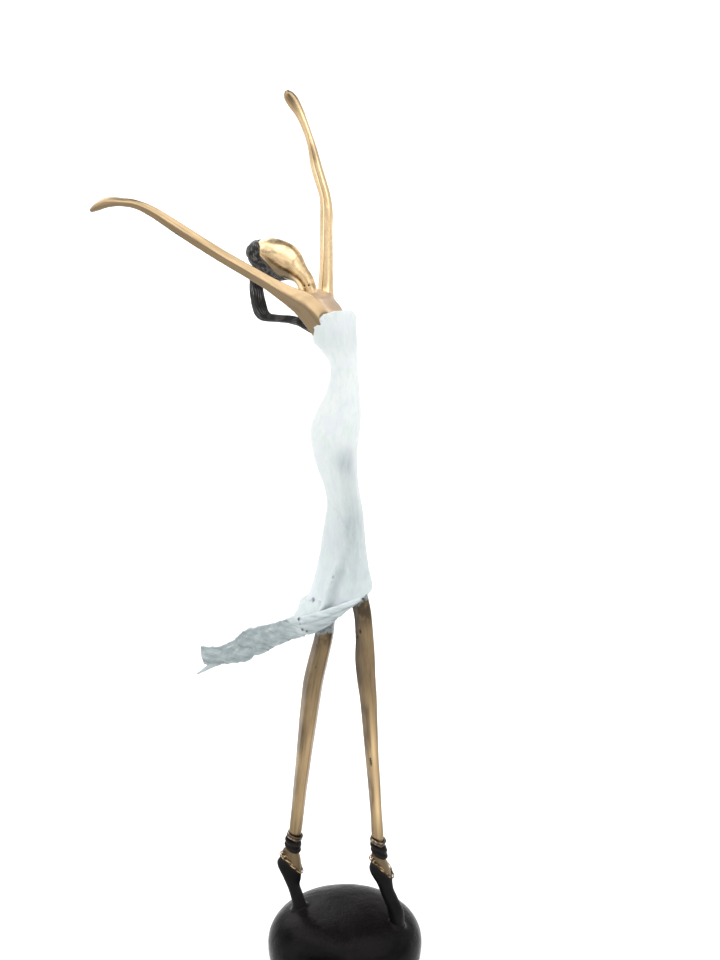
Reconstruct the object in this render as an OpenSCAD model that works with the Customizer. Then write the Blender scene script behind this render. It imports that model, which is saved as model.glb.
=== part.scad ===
// Bronze statuette: a dancer with raised arms, in a wind-blown dress, on a pebble-shaped base.
// Millimetres. +Z up, +X is the way the figure faces, +Y is its left-hand side.
// The origin is the centre of the felt pad's underside, where the statuette stands.

/* [Base] */
// Radius of the pebble-shaped base at its widest line
base_r = 48; // [46:1:52]
// Height of the widest line above the table
base_equator = 20; // [18:1:20]
// Height of the crown of the base above its widest line
base_crown = 26.7; // [26:0.1:28]
// Roundness of the base profile, 2 is an ellipse and more is squarer
base_round = 2.4; // [2.3:0.1:2.6]
// Radius of the hollow under the base
cavity_r = 32; // [28:1:34]
// Height of the roof of the hollow above the table
cavity_roof = 30; // [28:1:31]
// Thickness of the felt pad
felt_t = 1.5; // [1:0.5:2]
// Radius of the felt pad
felt_r = 37; // [35:1:38]

/* [Figure] */
// Thickness of both arms as a share of the cast pattern
arm_scale = 1; // [0.9:0.05:1.1]
// Thickness of both legs as a share of the cast pattern
leg_scale = 1; // [0.95:0.05:1.05]
// Wall of the skirt at the hem
skirt_wall = 2; // [1.6:0.1:2.4]
// Depth of the recess under the hem
skirt_recess = 8; // [6:1:9]
// Thickness of the wind-blown train
train_t = 2; // [1.6:0.2:2.4]
// Thickness of the hair over the head
hair_t = 1.2; // [1:0.1:1.6]

/* [Fasteners and pegs] */
// Thread diameter of the studs that hold the feet
stud_d = 4; // [3:1:4]
// Length of the studs
stud_l = 26; // [24:1:28]
// Diameter of the large washers under the base
washer_d = 12; // [10:1:14]
// Thickness of the large washers
washer_t = 1; // [0.8:0.2:1.2]
// Width of the nuts across their flats
nut_af = 7; // [7:0.5:8]
// Height of the nuts
nut_h = 3.2; // [3:0.2:4]
// Diameter of the thin pegs in the shoulders, neck and ankles
thin_peg_d = 3; // [2:0.5:3]
// Diameter of the thick pegs in the hips
hip_peg_d = 4; // [3:0.5:4]
// Diameter of the peg between chest and bodice
waist_peg_d = 5; // [4:0.5:6]

/* [Ankles] */
// Wire thickness of the double ankle rings
ankle_wire = 1.5; // [1.2:0.1:1.6]
// Wire thickness of the gold edge round the shoe openings
edge_wire = 1.3; // [1:0.1:1.6]

/* [Hidden] */
fine = 48;
limb_sides = 14;
head_sides = 20;
shoe_sides = 16;
dress_sides = 28;
step = 2;

// Where each toe stands in its socket in the base: x, y, floor of the socket
left_toe = [-28, -5, 41.5];
right_toe = [34.3, -3.5, 38.5];
toe_r = 4.4;
socket_gap = 0.1;

// Stations across a limb: x, y, z, half width towards the front, half width sideways
RIGHT_ARM = [[-13, -12, 420, 8.5, 6.5], [-21.5, -17, 429, 5.6, 5.4], [-29.5, -21.5, 435.7, 4.2, 4.2],
             [-40, -25, 442.7, 3.5, 3.5], [-61, -30, 455.3, 3.3, 3.2], [-80, -35, 467.9, 3.2, 3.1],
             [-94.5, -39.5, 478.1, 2.8, 2.9], [-104, -42, 482.8, 2.3, 2.8], [-112, -44, 484, 2.5, 3.8],
             [-119, -45.5, 483.6, 3.2, 4.6], [-124.5, -46.5, 481.6, 2.6, 4], [-128.5, -47, 479.4, 1.3, 2]];
LEFT_ARM = [[-12.5, 10.5, 425.5, 6, 6], [-14, 14.5, 431.8, 4.5, 4.5], [-14.7, 18, 438.7, 3.6, 3.8],
            [-15.6, 22, 449.4, 3.5, 3.5], [-16.7, 26, 460.7, 3.4, 3.4], [-17.6, 30, 471.5, 3.2, 3.2],
            [-19.6, 33.5, 480.3, 2.8, 2.9], [-22.6, 36.5, 487.4, 2.8, 2.9], [-26.4, 40, 496, 2.8, 2.8],
            [-30, 44, 506, 2.2, 2.4], [-33, 46.5, 513, 1.9, 2.2], [-36.6, 49, 520, 2.1, 2.5],
            [-40, 51, 525.5, 2.8, 3.2], [-44, 52.5, 531, 3.6, 4], [-47, 53.5, 534.8, 3.1, 3.6],
            [-48.3, 54, 537, 1.4, 1.8]];
HEAD = [[-20.5, 0, 427, 5.4, 5.4], [-20.8, 0, 433, 5.3, 5.1], [-22, 0, 437, 5.2, 5.3],
        [-24.2, 0, 440.3, 5.4, 6], [-27, 0, 443, 6.8, 7.3], [-31, 0, 446, 9.5, 8.9],
        [-36.2, 0, 448.8, 10.7, 9.8], [-42.2, 0, 450.8, 9.9, 9.6], [-48, 0, 451.9, 8.1, 8.2],
        [-51.8, 0, 452.5, 5.7, 6], [-53.7, 0, 452.7, 3, 3.2]];
// Front edge of the hair seen from the side: x, z
HAIRLINE = [[-48.5, 475], [-48.5, 459.5], [-46, 457], [-45.7, 452.5], [-42, 449], [-38, 444],
            [-34, 440], [-31, 437.7], [-29.5, 431], [-29.5, 426]];
hair_back = -70;
PONYTAIL = [[-50, 2, 443.6, 3.4, 3], [-51.6, 3, 438, 3.8, 3.2], [-51.7, 3, 430, 3.9, 3.3],
            [-50.2, 3, 421.5, 4.2, 3.4], [-48.2, 2.5, 417.3, 4.1, 3.3], [-44.4, 1.5, 415.5, 2.5, 3.2],
            [-38, 0.5, 415.3, 2.1, 3.1], [-31, -1, 415.4, 2.3, 3], [-25, -3, 414.8, 2.4, 3],
            [-19.5, -4.6, 412.6, 2.3, 2.8]];
// Seams and pegs: where the arms and the neck meet the chest
arm_seat_r = 9;
arm_seat_l = 14;
arm_peg_in = 5;
arm_peg_out = 9;
neck_seam = [-20.8, 0, 431.3];
neck_seam_tilt = 17;
neck_peg_lean = -30;
neck_peg_half = 6;
waist_ends = [[-6, 0, 402], [-6, 0, 420]];
left_hip = [[-9.5, 5.5, 248], [-9.5, 5.5, 264]];
right_hip = [[7.5, -4.5, 256], [7.5, -4.5, 272]];
left_ankle = [[-34, -3, 65.5], [-34, -3, 78.5]];
right_ankle = [[24.3, -4, 71.5], [24.3, -4, 84.5]];

// Level stations: x, y, z, half width front to back, half width sideways, rise towards the front
neckline_rise = 0.5;
hem_rise = 0.47;
DRESS = [[-7.5, 0, 249, 24.4, 20.5, hem_rise], [-3.8, 0, 254.5, 20, 19, 0.38], [-2, 0, 262, 17, 17.5, 0.2],
         [-1, 0, 271, 15, 16, 0.05], [-0.3, 0, 285, 12.9, 15, 0], [0.4, 0, 301, 10.8, 14.5, 0],
         [0.2, 0, 311, 9.4, 14.2, 0], [-1.8, 0, 322, 9.8, 14.5, 0], [-4.4, 0, 335, 12, 15, 0],
         [-5, 0, 346, 13.6, 15, 0], [-4.8, 0, 354, 14.2, 14.5, 0], [-2.6, 0, 364, 12.6, 13, 0],
         [-0.3, 0, 375, 9.5, 11, 0], [0.5, 0, 386, 7.9, 10, 0], [-0.2, 0, 394, 8, 11, 0.05],
         [-2.8, 0, 402, 10.2, 12.6, 0.2], [-4.9, 0, 408, 11.9, 13.6, 0.35],
         [-5.6, 0, 416.5, 12, 13.8, neckline_rise]];
TORSO = [[-6.6, 0, 416, 10.4, 13.2, neckline_rise], [-10, 0, 421.8, 8.8, 13.4, 0.25],
         [-14.5, 0, 427, 7, 10.5, 0], [-20.8, 0, 431.3, 5, 5.3, -0.3]];
LEFT_LEG = [[-33, -3, 72.4, 5.7, 4.4, -0.92], [-33.3, -2.6, 77.8, 5.6, 4.2, -0.6],
            [-32.6, -2.3, 82.5, 3.6, 3.5, -0.4], [-31.9, -2.1, 88, 3.4, 3.4, -0.4],
            [-31.3, -2, 92.5, 3.4, 3.4, -0.3], [-30.9, -1.9, 95.5, 4, 4, -0.1],
            [-28.9, -0.7, 115, 4.1, 4.1, 0], [-26, 0.7, 142, 4.5, 4.5, 0], [-23.2, 2, 168, 5.3, 5.2, 0],
            [-21.6, 2.7, 181, 5.6, 5.5, 0], [-19.8, 3.3, 194, 5.9, 5.7, 0], [-17.1, 4, 207, 5.8, 5.7, 0],
            [-14, 4.7, 220.5, 5.5, 5.4, 0], [-12.4, 5.3, 232, 5.3, 5.3, 0.1],
            [-11, 5.5, 245, 5.3, 5.3, 0.3],
            [-9.5, 5.5, 256, 5, 5, hem_rise]];
RIGHT_LEG = [[25, -4, 78.4, 6.1, 4.4, -0.87], [23.3, -4, 83.8, 5.2, 4.2, -0.6],
             [22.9, -4.1, 87.5, 3.6, 3.5, -0.4], [22.4, -4.2, 93, 3.4, 3.4, -0.4],
             [22.1, -4.3, 98, 3.4, 3.4, -0.3], [21.9, -4.4, 101, 3.7, 3.7, -0.1],
             [21.2, -4.5, 115, 3.6, 3.6, 0], [20, -4.6, 137, 3.7, 3.7, 0], [18.9, -4.7, 152, 3.9, 3.9, 0],
             [17.5, -4.8, 176, 4.5, 4.5, 0], [16.8, -4.8, 189, 5, 5, 0], [15.5, -4.8, 202, 5.4, 5.4, 0],
             [14.8, -4.9, 214.5, 5.7, 5.5, 0], [14.4, -4.9, 228, 5.2, 5.3, 0],
             [13.2, -5, 243.5, 4.9, 5.2, 0.2],
             [10.5, -4.8, 255, 4.8, 5, 0.4], [7.5, -4.5, 264, 4.5, 4.8, hem_rise]];
LEFT_SHOE = [[-28, -5, 41.5, 4.4, 4.4, 0], [-28, -5, 44.5, 4.6, 4.4, 0], [-29, -4.8, 48.5, 4.2, 4, -0.1],
             [-31, -4.3, 54.5, 4.4, 4, -0.3], [-33.6, -3.5, 60.5, 5.3, 4.3, -0.5],
             [-35.2, -3, 66.6, 7.5, 4.8, -0.7], [-33, -3, 72.4, 5.9, 4.7, -0.92]];
RIGHT_SHOE = [[34.3, -3.5, 38.5, 4.4, 4.4, 0], [34.3, -3.5, 43, 4.6, 4.5, 0],
              [33, -3.6, 51, 5.3, 4.3, -0.2], [29.6, -3.8, 59, 5.3, 4.1, -0.3], [27, -4, 65.5, 5.4, 4.2, -0.4],
              [24.2, -4, 72.2, 7.3, 4.6, -0.6], [25, -4, 78.4, 6.3, 4.7, -0.87]];
LEFT_CUFF = [[-33, -2.4, 81.8, 4.6, 4.6, -0.45], [-32.8, -2.3, 83.2, 5.2, 5, -0.45],
             [-32.6, -2.2, 85, 4.7, 4.6, -0.45], [-32.4, -2.2, 86.8, 5.2, 5, -0.4],
             [-32.2, -2.1, 88.6, 4.6, 4.6, -0.4]];
RIGHT_CUFF = [[23.2, -4, 86.8, 4.6, 4.6, -0.45], [23, -4, 88.3, 5.3, 5, -0.45],
              [22.8, -4, 90.2, 4.7, 4.6, -0.45], [22.6, -4, 92.1, 5.3, 5, -0.4],
              [22.4, -4, 93.9, 4.7, 4.6, -0.4]];
cuff_wall = 1.1;
left_ring = [-31.4, -2, 91.3];
right_ring = [22.2, -4.2, 96.6];
ring_r = 4.35;
ring_tilt = 22;
strand_gap = 0.04;
heel_loop_r = 1.9;
heel_reach = 0.85;

// Train: angles round the hem, from the front corner to the back, and how far the band hangs there
BAND = [[-22, 0.8], [-40, 4], [-60, 8], [-80, 11], [-100, 12.5], [-120, 12.5], [-142, 13.5]];
// Free end of the train: x, y, z of the top edge, then x, z of the bottom edge
TAIL = [[-42, -7, 232.8, -41, 217.5], [-52, -4, 229, -51, 210.5], [-62, -1, 223.8, -61, 203.8],
        [-70, 1, 216, -70, 200.4], [-78, 2.5, 211, -78, 198], [-85, 3.5, 208.8, -84, 196.3],
        [-92, 4, 208.6, -90, 196.5]];
train_bulge = 1.5;
// Ragged thread of the train's lower corner, as stations across
SPIKE = [[-82, 3, 198.2, 1.6, 1], [-86, 2.5, 196, 1.5, 1], [-90.5, 1.8, 193, 1, 0.8],
         [-94, 1.5, 190.6, 0.4, 0.4]];

// Smooth curve through stations of any length
function at(s, i) = s[min(max(i, 0), len(s) - 1)];
function curve(a, b, c, d, t) =
    0.5 * (2 * b + (c - a) * t + (2 * a - 5 * b + 4 * c - d) * t * t + (3 * b - a - 3 * c + d) * t * t * t);
function between(s, u) =
    let (i = min(floor(u), len(s) - 2)) curve(at(s, i - 1), at(s, i), at(s, i + 1), at(s, i + 2), u - i);
function smooth(s) = [for (j = [0 : (len(s) - 1) * step]) between(s, j / step)];
function place(s) = [s[0], s[1], s[2]];
function unit(v) = v / norm(v);

// A ring of points square to the path, and a ring that lies level but for its rise to the front
function across(s, i, n) =
    let (t = unit(place(at(s, i + 1)) - place(at(s, i - 1))),
         b = unit([0, 1, 0] - t * t[1]),
         f = cross(b, t))
    [for (k = [0 : n - 1]) place(s[i]) + f * s[i][3] * cos(360 * k / n) + b * s[i][4] * sin(360 * k / n)];
function level(s, n) =
    [for (k = [0 : n - 1])
        let (forward = s[3] * cos(360 * k / n), sideways = s[4] * sin(360 * k / n))
        [s[0] + forward, s[1] + sideways, s[2] + s[5] * forward]];
function limb_rings(s, n) = let (p = smooth(s)) [for (i = [0 : len(p) - 1]) across(p, i, n)];
function level_rings(s, n) = [for (p = smooth(s)) level(p, n)];
function thinner(s, t) = [s[0], s[1], s[2], s[3] - t, s[4] - t, s[5]];
function thicker(s, t) = [for (p = s) [p[0], p[1], p[2], p[3] + t, p[4] + t]];
function girth(s, k) = [for (p = s) [p[0], p[1], p[2], p[3] * k, p[4] * k]];
function leg_girth(s, k) = [for (p = s) [p[0], p[1], p[2], p[3] * k, p[4] * k, p[5]]];

// A closed skin over a row of rings
module skin(rings) {
    n = len(rings[0]);
    last = len(rings) - 1;
    polyhedron(
        points = [for (r = rings) each r],
        faces = concat(
            [[for (k = [0 : n - 1]) k]],
            [for (i = [0 : last - 1]) for (k = [0 : n - 1])
                [i * n + k, (i + 1) * n + k, (i + 1) * n + (k + 1) % n, i * n + (k + 1) % n]],
            [[for (k = [n - 1 : -1 : 0]) last * n + k]]),
        convexity = 6);
}

// A peg or a bore of diameter d from the point a to the point b
module rod(a, b, d) {
    v = b - a;
    translate(a)
        rotate([0, acos(v[2] / norm(v)), atan2(v[1], v[0])])
            cylinder(h = norm(v), d = d, $fn = fine);
}

// Ends of each peg
function arm_axis(s) = unit(place(s[1]) - place(s[0]));
function arm_peg(s) = [place(s[0]) - arm_axis(s) * arm_peg_in, place(s[0]) + arm_axis(s) * arm_peg_out];
neck_axis = [sin(neck_peg_lean), 0, cos(neck_peg_lean)];
neck_ends = [neck_seam - neck_axis * neck_peg_half, neck_seam + neck_axis * neck_peg_half];

// Radius and height of the base profile at an angle from the crown
function pebble(a) = [base_r * pow(abs(sin(a)), 2 / base_round),
                      base_equator + base_crown * sign(cos(a)) * pow(abs(cos(a)), 2 / base_round)];
foot_angle = acos(-pow((base_equator - felt_t) / base_crown, base_round / 2));

base_segments = 26;
stud_gap = 0.2;
socket_l = 12;
stud_bore_l = 16;

module base() {
    color("#2b2826")
    difference() {
        rotate_extrude($fn = 96)
            polygon(concat([[0, felt_t]],
                           [for (i = [base_segments : -1 : 0]) pebble(foot_angle * i / base_segments)]));
        translate([0, 0, felt_t - 1])
            cylinder(h = cavity_roof - felt_t + 1, r = cavity_r, $fn = fine);
        for (toe = [left_toe, right_toe]) {
            translate(toe)
                cylinder(h = socket_l, r = toe_r + socket_gap, $fn = fine);
            translate([toe[0], toe[1], cavity_roof - 2])
                cylinder(h = stud_bore_l, d = stud_d + 2 * stud_gap, $fn = fine);
        }
    }
}

module felt_pad() {
    color("#1d3a2a")
    cylinder(h = felt_t, r = felt_r, $fn = 96);
}

// Studs start a little below their nuts; the stud of the lower toe is shorter by the difference
stud_below_nut = 2;
stud_z = cavity_roof - washer_t - nut_h - stud_below_nut;
function stud_length(toe) = stud_l - (left_toe[2] - toe[2]);

module foot_studs() {
    color("silver")
    for (toe = [left_toe, right_toe])
        translate([toe[0], toe[1], stud_z])
            cylinder(h = stud_length(toe), d = stud_d, $fn = fine);
}

washer_gap = 0.15;

module stud_washers() {
    color("silver")
    for (toe = [left_toe, right_toe])
        translate([toe[0], toe[1], cavity_roof - washer_t])
            difference() {
                cylinder(h = washer_t, d = washer_d, $fn = fine);
                translate([0, 0, -1])
                    cylinder(h = washer_t + 2, d = stud_d + 2 * washer_gap, $fn = fine);
            }
}

module stud_nuts() {
    color("silver")
    for (toe = [left_toe, right_toe])
        translate([toe[0], toe[1], cavity_roof - washer_t - nut_h])
            difference() {
                cylinder(h = nut_h, d = nut_af / cos(30), $fn = 6);
                translate([0, 0, -1])
                    cylinder(h = nut_h + 2, d = stud_d, $fn = fine);
            }
}

// How far a bore cutter runs past the face it opens
bore_over = 3;

module shoe(stations, toe, peg) {
    color("#2a2624")
    difference() {
        skin(level_rings(stations, shoe_sides));
        rod([toe[0], toe[1], toe[2] - 1], [toe[0], toe[1], stud_z + stud_length(toe)], stud_d);
        rod(peg[0], peg[1] + [0, 0, bore_over], thin_peg_d);
    }
}
module left_shoe() { shoe(LEFT_SHOE, left_toe, left_ankle); }
module right_shoe() { shoe(RIGHT_SHOE, right_toe, right_ankle); }

// Gold wire round the opening of a shoe, with a small loop at the heel
edge_turns = 24;
edge_sides = 8;

module shoe_edge(opening) {
    turns = edge_turns;
    sides = edge_sides;
    r = edge_wire / 2;
    a = opening[3] + r / 2;
    b = opening[4] + r / 2;
    points = [for (i = [0 : turns - 1])
        let (u = 360 * i / turns,
             c = [opening[0] + a * cos(u), opening[1] + b * sin(u), opening[2] + opening[5] * a * cos(u)],
             t = unit([-a * sin(u), b * cos(u), -opening[5] * a * sin(u)]),
             q = [cos(u), sin(u), 0],
             o = unit(q - t * (q * t)),
             w = cross(t, o))
        for (k = [0 : sides - 1]) c + r * (o * cos(360 * k / sides) + w * sin(360 * k / sides))];
    faces = [for (i = [0 : turns - 1]) for (k = [0 : sides - 1])
        let (j = (i + 1) % turns, m = (k + 1) % sides)
        [i * sides + k, j * sides + k, j * sides + m, i * sides + m]];
    color("#c9a15a") {
        polyhedron(points = points, faces = faces, convexity = 6);
        translate([opening[0] - heel_reach * a, opening[1],
                   opening[2] - opening[5] * heel_reach * a + heel_loop_r])
            rotate([90, 0, 0])
                rotate_extrude($fn = fine)
                    translate([heel_loop_r, 0])
                        circle(r = r * 0.8, $fn = 24);
    }
}
module left_shoe_edge() { shoe_edge(LEFT_SHOE[len(LEFT_SHOE) - 1]); }
module right_shoe_edge() { shoe_edge(RIGHT_SHOE[len(RIGHT_SHOE) - 1]); }

// Black band with two swellings, open in the middle for the ankle
module cuff(stations) {
    outer = [for (s = stations) level(s, shoe_sides)];
    inner = [for (i = [len(stations) - 1 : -1 : 0]) level(thinner(stations[i], cuff_wall), shoe_sides)];
    rings = concat(outer, inner);
    n = shoe_sides;
    m = len(rings);
    color("#24211f")
    polyhedron(
        points = [for (r = rings) each r],
        faces = [for (i = [0 : m - 1]) for (k = [0 : n - 1])
            [i * n + k, ((i + 1) % m) * n + k, ((i + 1) % m) * n + (k + 1) % n, i * n + (k + 1) % n]],
        convexity = 6);
}
module left_ankle_cuff() { cuff(LEFT_CUFF); }
module right_ankle_cuff() { cuff(RIGHT_CUFF); }

module ankle_ring(centre) {
    color("#b08a4c")
    translate(centre)
        rotate([0, ring_tilt, 0])
            for (side = [-1, 1])
                translate([0, 0, side * (ankle_wire / 2 + strand_gap)])
                    rotate_extrude($fn = fine)
                        translate([ring_r, 0])
                            circle(d = ankle_wire, $fn = 24);
}
module left_ankle_ring() { ankle_ring(left_ring); }
module right_ankle_ring() { ankle_ring(right_ring); }

module leg(stations, hip, ankle) {
    color("#a8813f")
    difference() {
        skin(level_rings(leg_girth(stations, leg_scale), limb_sides));
        rod(hip[0], hip[1], hip_peg_d);
        rod(ankle[0] - [0, 0, bore_over], ankle[1], thin_peg_d);
    }
}
module left_leg() { leg(LEFT_LEG, left_hip, left_ankle); }
module right_leg() { leg(RIGHT_LEG, right_hip, right_ankle); }

// Bodice and skirt in one casting, with a shallow recess under the hem
module dress_body() {
    hem = thinner(DRESS[0], skirt_wall);
    inside = thinner(DRESS[1], skirt_wall + 1);
    roof = [hem[0], hem[1], hem[2] + skirt_recess, inside[3] - 2, inside[4], hem_rise];
    color("#c3d6de")
    difference() {
        skin(concat([level(roof, dress_sides), level(hem, dress_sides)], level_rings(DRESS, dress_sides)));
        rod(waist_ends[0], waist_ends[1], waist_peg_d);
        rod(left_hip[0], left_hip[1], hip_peg_d);
        rod(right_hip[0], right_hip[1], hip_peg_d);
    }
}

// Cross-section of the train between a point on its top edge and one on its bottom edge
function train_ring(top, bottom) =
    let (wall = [for (w = [0 : 0.25 : 1]) top * (1 - w) + bottom * w - [0, train_bulge * sin(180 * w), 0]])
    concat([for (i = [4 : -1 : 0]) wall[i] - [0, train_t / 2, 0]],
           [for (i = [0 : 4]) wall[i] + [0, train_t / 2, 0]]);
function hem_point(a) = let (h = thinner(DRESS[0], skirt_wall / 2))
    [h[0] + h[3] * cos(a), h[1] + h[4] * sin(a), h[2] + hem_rise * h[3] * cos(a)];
module dress_train() {
    band = [for (p = BAND) let (e = hem_point(p[0])) [e[0], e[1], e[2], e[0], e[2] - p[1]]];
    edge = smooth(concat(band, TAIL));
    color("#b4cad3") {
        skin([for (s = edge) train_ring([s[0], s[1], s[2]], [s[3], s[1], s[4]])]);
        skin(limb_rings(SPIKE, 8));
    }
}

module torso() {
    color("#b9924f")
    difference() {
        skin(level_rings(TORSO, dress_sides));
        for (arm = [RIGHT_ARM, LEFT_ARM]) {
            rod(place(arm[0]), place(arm[0]) + arm_axis(arm) * arm_seat_l, 2 * arm_seat_r);
            rod(arm_peg(arm)[0], arm_peg(arm)[1], thin_peg_d);
        }
        rod(neck_ends[0], neck_ends[1], thin_peg_d);
        rod(waist_ends[0], waist_ends[1], waist_peg_d);
    }
}

module arm(stations) {
    color("#c79f56")
    difference() {
        skin(limb_rings(girth(stations, arm_scale), limb_sides));
        rod(arm_peg(stations)[0], arm_peg(stations)[1], thin_peg_d);
    }
}
module right_arm() { arm(RIGHT_ARM); }
module left_arm() { arm(LEFT_ARM); }

// Block that trims the neck along its seam
trim_w = 30;
trim_h = 20;

module head_solid() { skin(limb_rings(HEAD, head_sides)); }
module head() {
    color("#d0a95f")
    difference() {
        head_solid();
        translate(neck_seam)
            rotate([0, neck_seam_tilt, 0])
                translate([-trim_w / 2, -trim_w / 2, -trim_h])
                    cube([trim_w, trim_w, trim_h]);
        rod(neck_ends[0], neck_ends[1], thin_peg_d);
    }
}

hair_first_ring = 4;
hair_slab = 40;

module hair_cap() {
    last = len(HEAD) - 1;
    rings = thicker([for (i = [hair_first_ring : last - 1]) HEAD[i]], hair_t);
    crown = HEAD[last] + [-1, 0, 0, hair_t, hair_t];
    outline = concat(HAIRLINE, [[hair_back, HAIRLINE[len(HAIRLINE) - 1][1]], [hair_back, HAIRLINE[0][1]]]);
    color("#26221f")
    intersection() {
        difference() {
            skin(limb_rings(concat(rings, [crown]), head_sides));
            head_solid();
        }
        rotate([90, 0, 0])
            translate([0, 0, -hair_slab / 2])
                linear_extrude(height = hair_slab)
                    polygon(outline);
    }
}

module ponytail() {
    color("#26221f")
    skin(limb_rings(PONYTAIL, limb_sides));
}

module shoulder_pegs() {
    color("silver")
    for (s = [RIGHT_ARM, LEFT_ARM])
        rod(arm_peg(s)[0], arm_peg(s)[1], thin_peg_d);
}
module neck_peg() {
    color("silver")
    rod(neck_ends[0], neck_ends[1], thin_peg_d);
}
module waist_peg() {
    color("silver")
    rod(waist_ends[0], waist_ends[1], waist_peg_d);
}
module hip_pegs() {
    color("silver") {
        rod(left_hip[0], left_hip[1], hip_peg_d);
        rod(right_hip[0], right_hip[1], hip_peg_d);
    }
}
module ankle_pegs() {
    color("silver") {
        rod(left_ankle[0], left_ankle[1], thin_peg_d);
        rod(right_ankle[0], right_ankle[1], thin_peg_d);
    }
}

base();
felt_pad();
foot_studs();
stud_washers();
stud_nuts();
left_shoe();
right_shoe();
left_shoe_edge();
right_shoe_edge();
left_ankle_cuff();
right_ankle_cuff();
left_ankle_ring();
right_ankle_ring();
left_leg();
right_leg();
dress_body();
dress_train();
torso();
right_arm();
left_arm();
head();
hair_cap();
ponytail();
shoulder_pegs();
neck_peg();
waist_peg();
hip_pegs();
ankle_pegs();
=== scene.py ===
"""Bronze statuette: a dancer with raised arms, in a wind-blown painted dress, on a pebble-shaped base.

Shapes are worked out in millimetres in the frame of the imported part: +Z up, +X the way the figure
faces, +Y its left-hand side. A mesh is written in metres.
"""
import math
import bpy
import numpy as np
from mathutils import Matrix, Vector, noise


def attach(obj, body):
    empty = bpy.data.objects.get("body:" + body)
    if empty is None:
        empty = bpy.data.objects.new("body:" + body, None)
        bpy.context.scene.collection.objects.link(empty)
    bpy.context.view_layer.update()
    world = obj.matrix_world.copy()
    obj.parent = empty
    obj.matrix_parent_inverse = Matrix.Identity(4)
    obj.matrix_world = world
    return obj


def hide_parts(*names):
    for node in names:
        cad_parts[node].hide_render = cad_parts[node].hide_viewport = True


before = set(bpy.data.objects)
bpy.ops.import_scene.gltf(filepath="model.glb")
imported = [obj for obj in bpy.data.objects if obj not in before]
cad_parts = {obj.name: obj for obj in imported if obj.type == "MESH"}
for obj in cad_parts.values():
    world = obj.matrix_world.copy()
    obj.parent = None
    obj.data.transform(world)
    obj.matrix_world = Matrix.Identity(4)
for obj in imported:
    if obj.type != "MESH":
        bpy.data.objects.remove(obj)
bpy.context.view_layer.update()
MM = 0.001
ROOT = "root"

# ---------------- camera

# Place in metres, angles in degrees and lens in millimetres
CAMERA_PLACE = (0.255, -0.9152, 0.6136)
CAMERA_DOWN = 17.02
CAMERA_ROUND = 15
CAMERA_LENS = 64.7

camera_data = bpy.data.cameras.new("camera")
camera_data.lens = CAMERA_LENS
camera_data.sensor_width = 36
camera_data.clip_end = 200
camera = bpy.data.objects.new("camera", camera_data)
bpy.context.scene.collection.objects.link(camera)
camera.location = CAMERA_PLACE
camera.rotation_euler = (math.radians(90 - CAMERA_DOWN), 0, math.radians(CAMERA_ROUND))
bpy.context.scene.camera = camera
bpy.context.scene.view_settings.view_transform = "Standard"


# ---------------- material tools

def add_node(tree, kind, inputs=None, **settings):
    """A shader node with its settings and inputs; an input may be a value or another node's output."""
    new = tree.nodes.new("ShaderNode" + kind)
    for key, value in settings.items():
        setattr(new, key, value)
    for key, value in (inputs or {}).items():
        if isinstance(value, bpy.types.NodeSocket):
            tree.links.new(value, new.inputs[key])
        else:
            new.inputs[key].default_value = value
    return new


def maths(tree, operation, a, b=0.0, c=0.0):
    return add_node(tree, "Math", {0: a, 1: b, 2: c}, operation=operation).outputs[0]


def ramp(tree, value, low, high, start=0.0, end=1.0):
    """value between low and high, as a smooth step from start to end."""
    inputs = {"Value": value, "From Min": low, "From Max": high, "To Min": start, "To Max": end}
    return add_node(tree, "MapRange", inputs, interpolation_type="SMOOTHSTEP").outputs["Result"]


def blend_colour(tree, share, first, second):
    """The first colour with this share of the second. A colour may be plain or a node's output."""
    new = add_node(tree, "Mix", {0: share}, data_type="RGBA")
    for socket, value in ((new.inputs[6], first), (new.inputs[7], second)):
        if isinstance(value, bpy.types.NodeSocket):
            tree.links.new(value, socket)
        else:
            socket.default_value = (*value, 1)
    return new.outputs[2]


def coats(tree, colour, *layers):
    """The colour under layers of others. Each layer is its share and its colour."""
    for share, over in layers:
        colour = blend_colour(tree, share, colour, over)
    return colour


def kept(tree, name, output="Fac"):
    """A number or vector kept in the mesh."""
    return add_node(tree, "Attribute", attribute_name=name).outputs[output]


def place_in(tree):
    """Place in the piece, in metres."""
    return add_node(tree, "TexCoord").outputs["Object"]


def speckle(tree, place, size, stretch=(1, 1, 1), detail=3, rough=0.55):
    """Noise about size millimetres across, stretched along some axes."""
    scale = [1 / (size * MM * s) for s in stretch]
    moved = add_node(tree, "Mapping", {"Vector": place, "Scale": scale}).outputs[0]
    inputs = {"Vector": moved, "Scale": 1.0, "Detail": detail, "Roughness": rough}
    return add_node(tree, "TexNoise", inputs).outputs[0]


def bumps(tree, height, depth, normal=None):
    """Relief depth millimetres deep."""
    inputs = {"Height": height, "Distance": depth * MM, "Strength": 1.0}
    if normal is not None:
        inputs["Normal"] = normal
    return add_node(tree, "Bump", inputs).outputs[0]


def new_material(name, **values):
    """An empty material with a Principled shader, whose plain values are set straight on it."""
    made = bpy.data.materials.new(name)
    made.use_nodes = True
    shader = made.node_tree.nodes["Principled BSDF"]
    for key, value in values.items():
        shader.inputs[key.replace("_", " ")].default_value = value
    return made, made.node_tree, shader


def link(tree, shader, **sockets):
    for key, value in sockets.items():
        tree.links.new(value, shader.inputs[key.replace("_", " ")])


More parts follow.
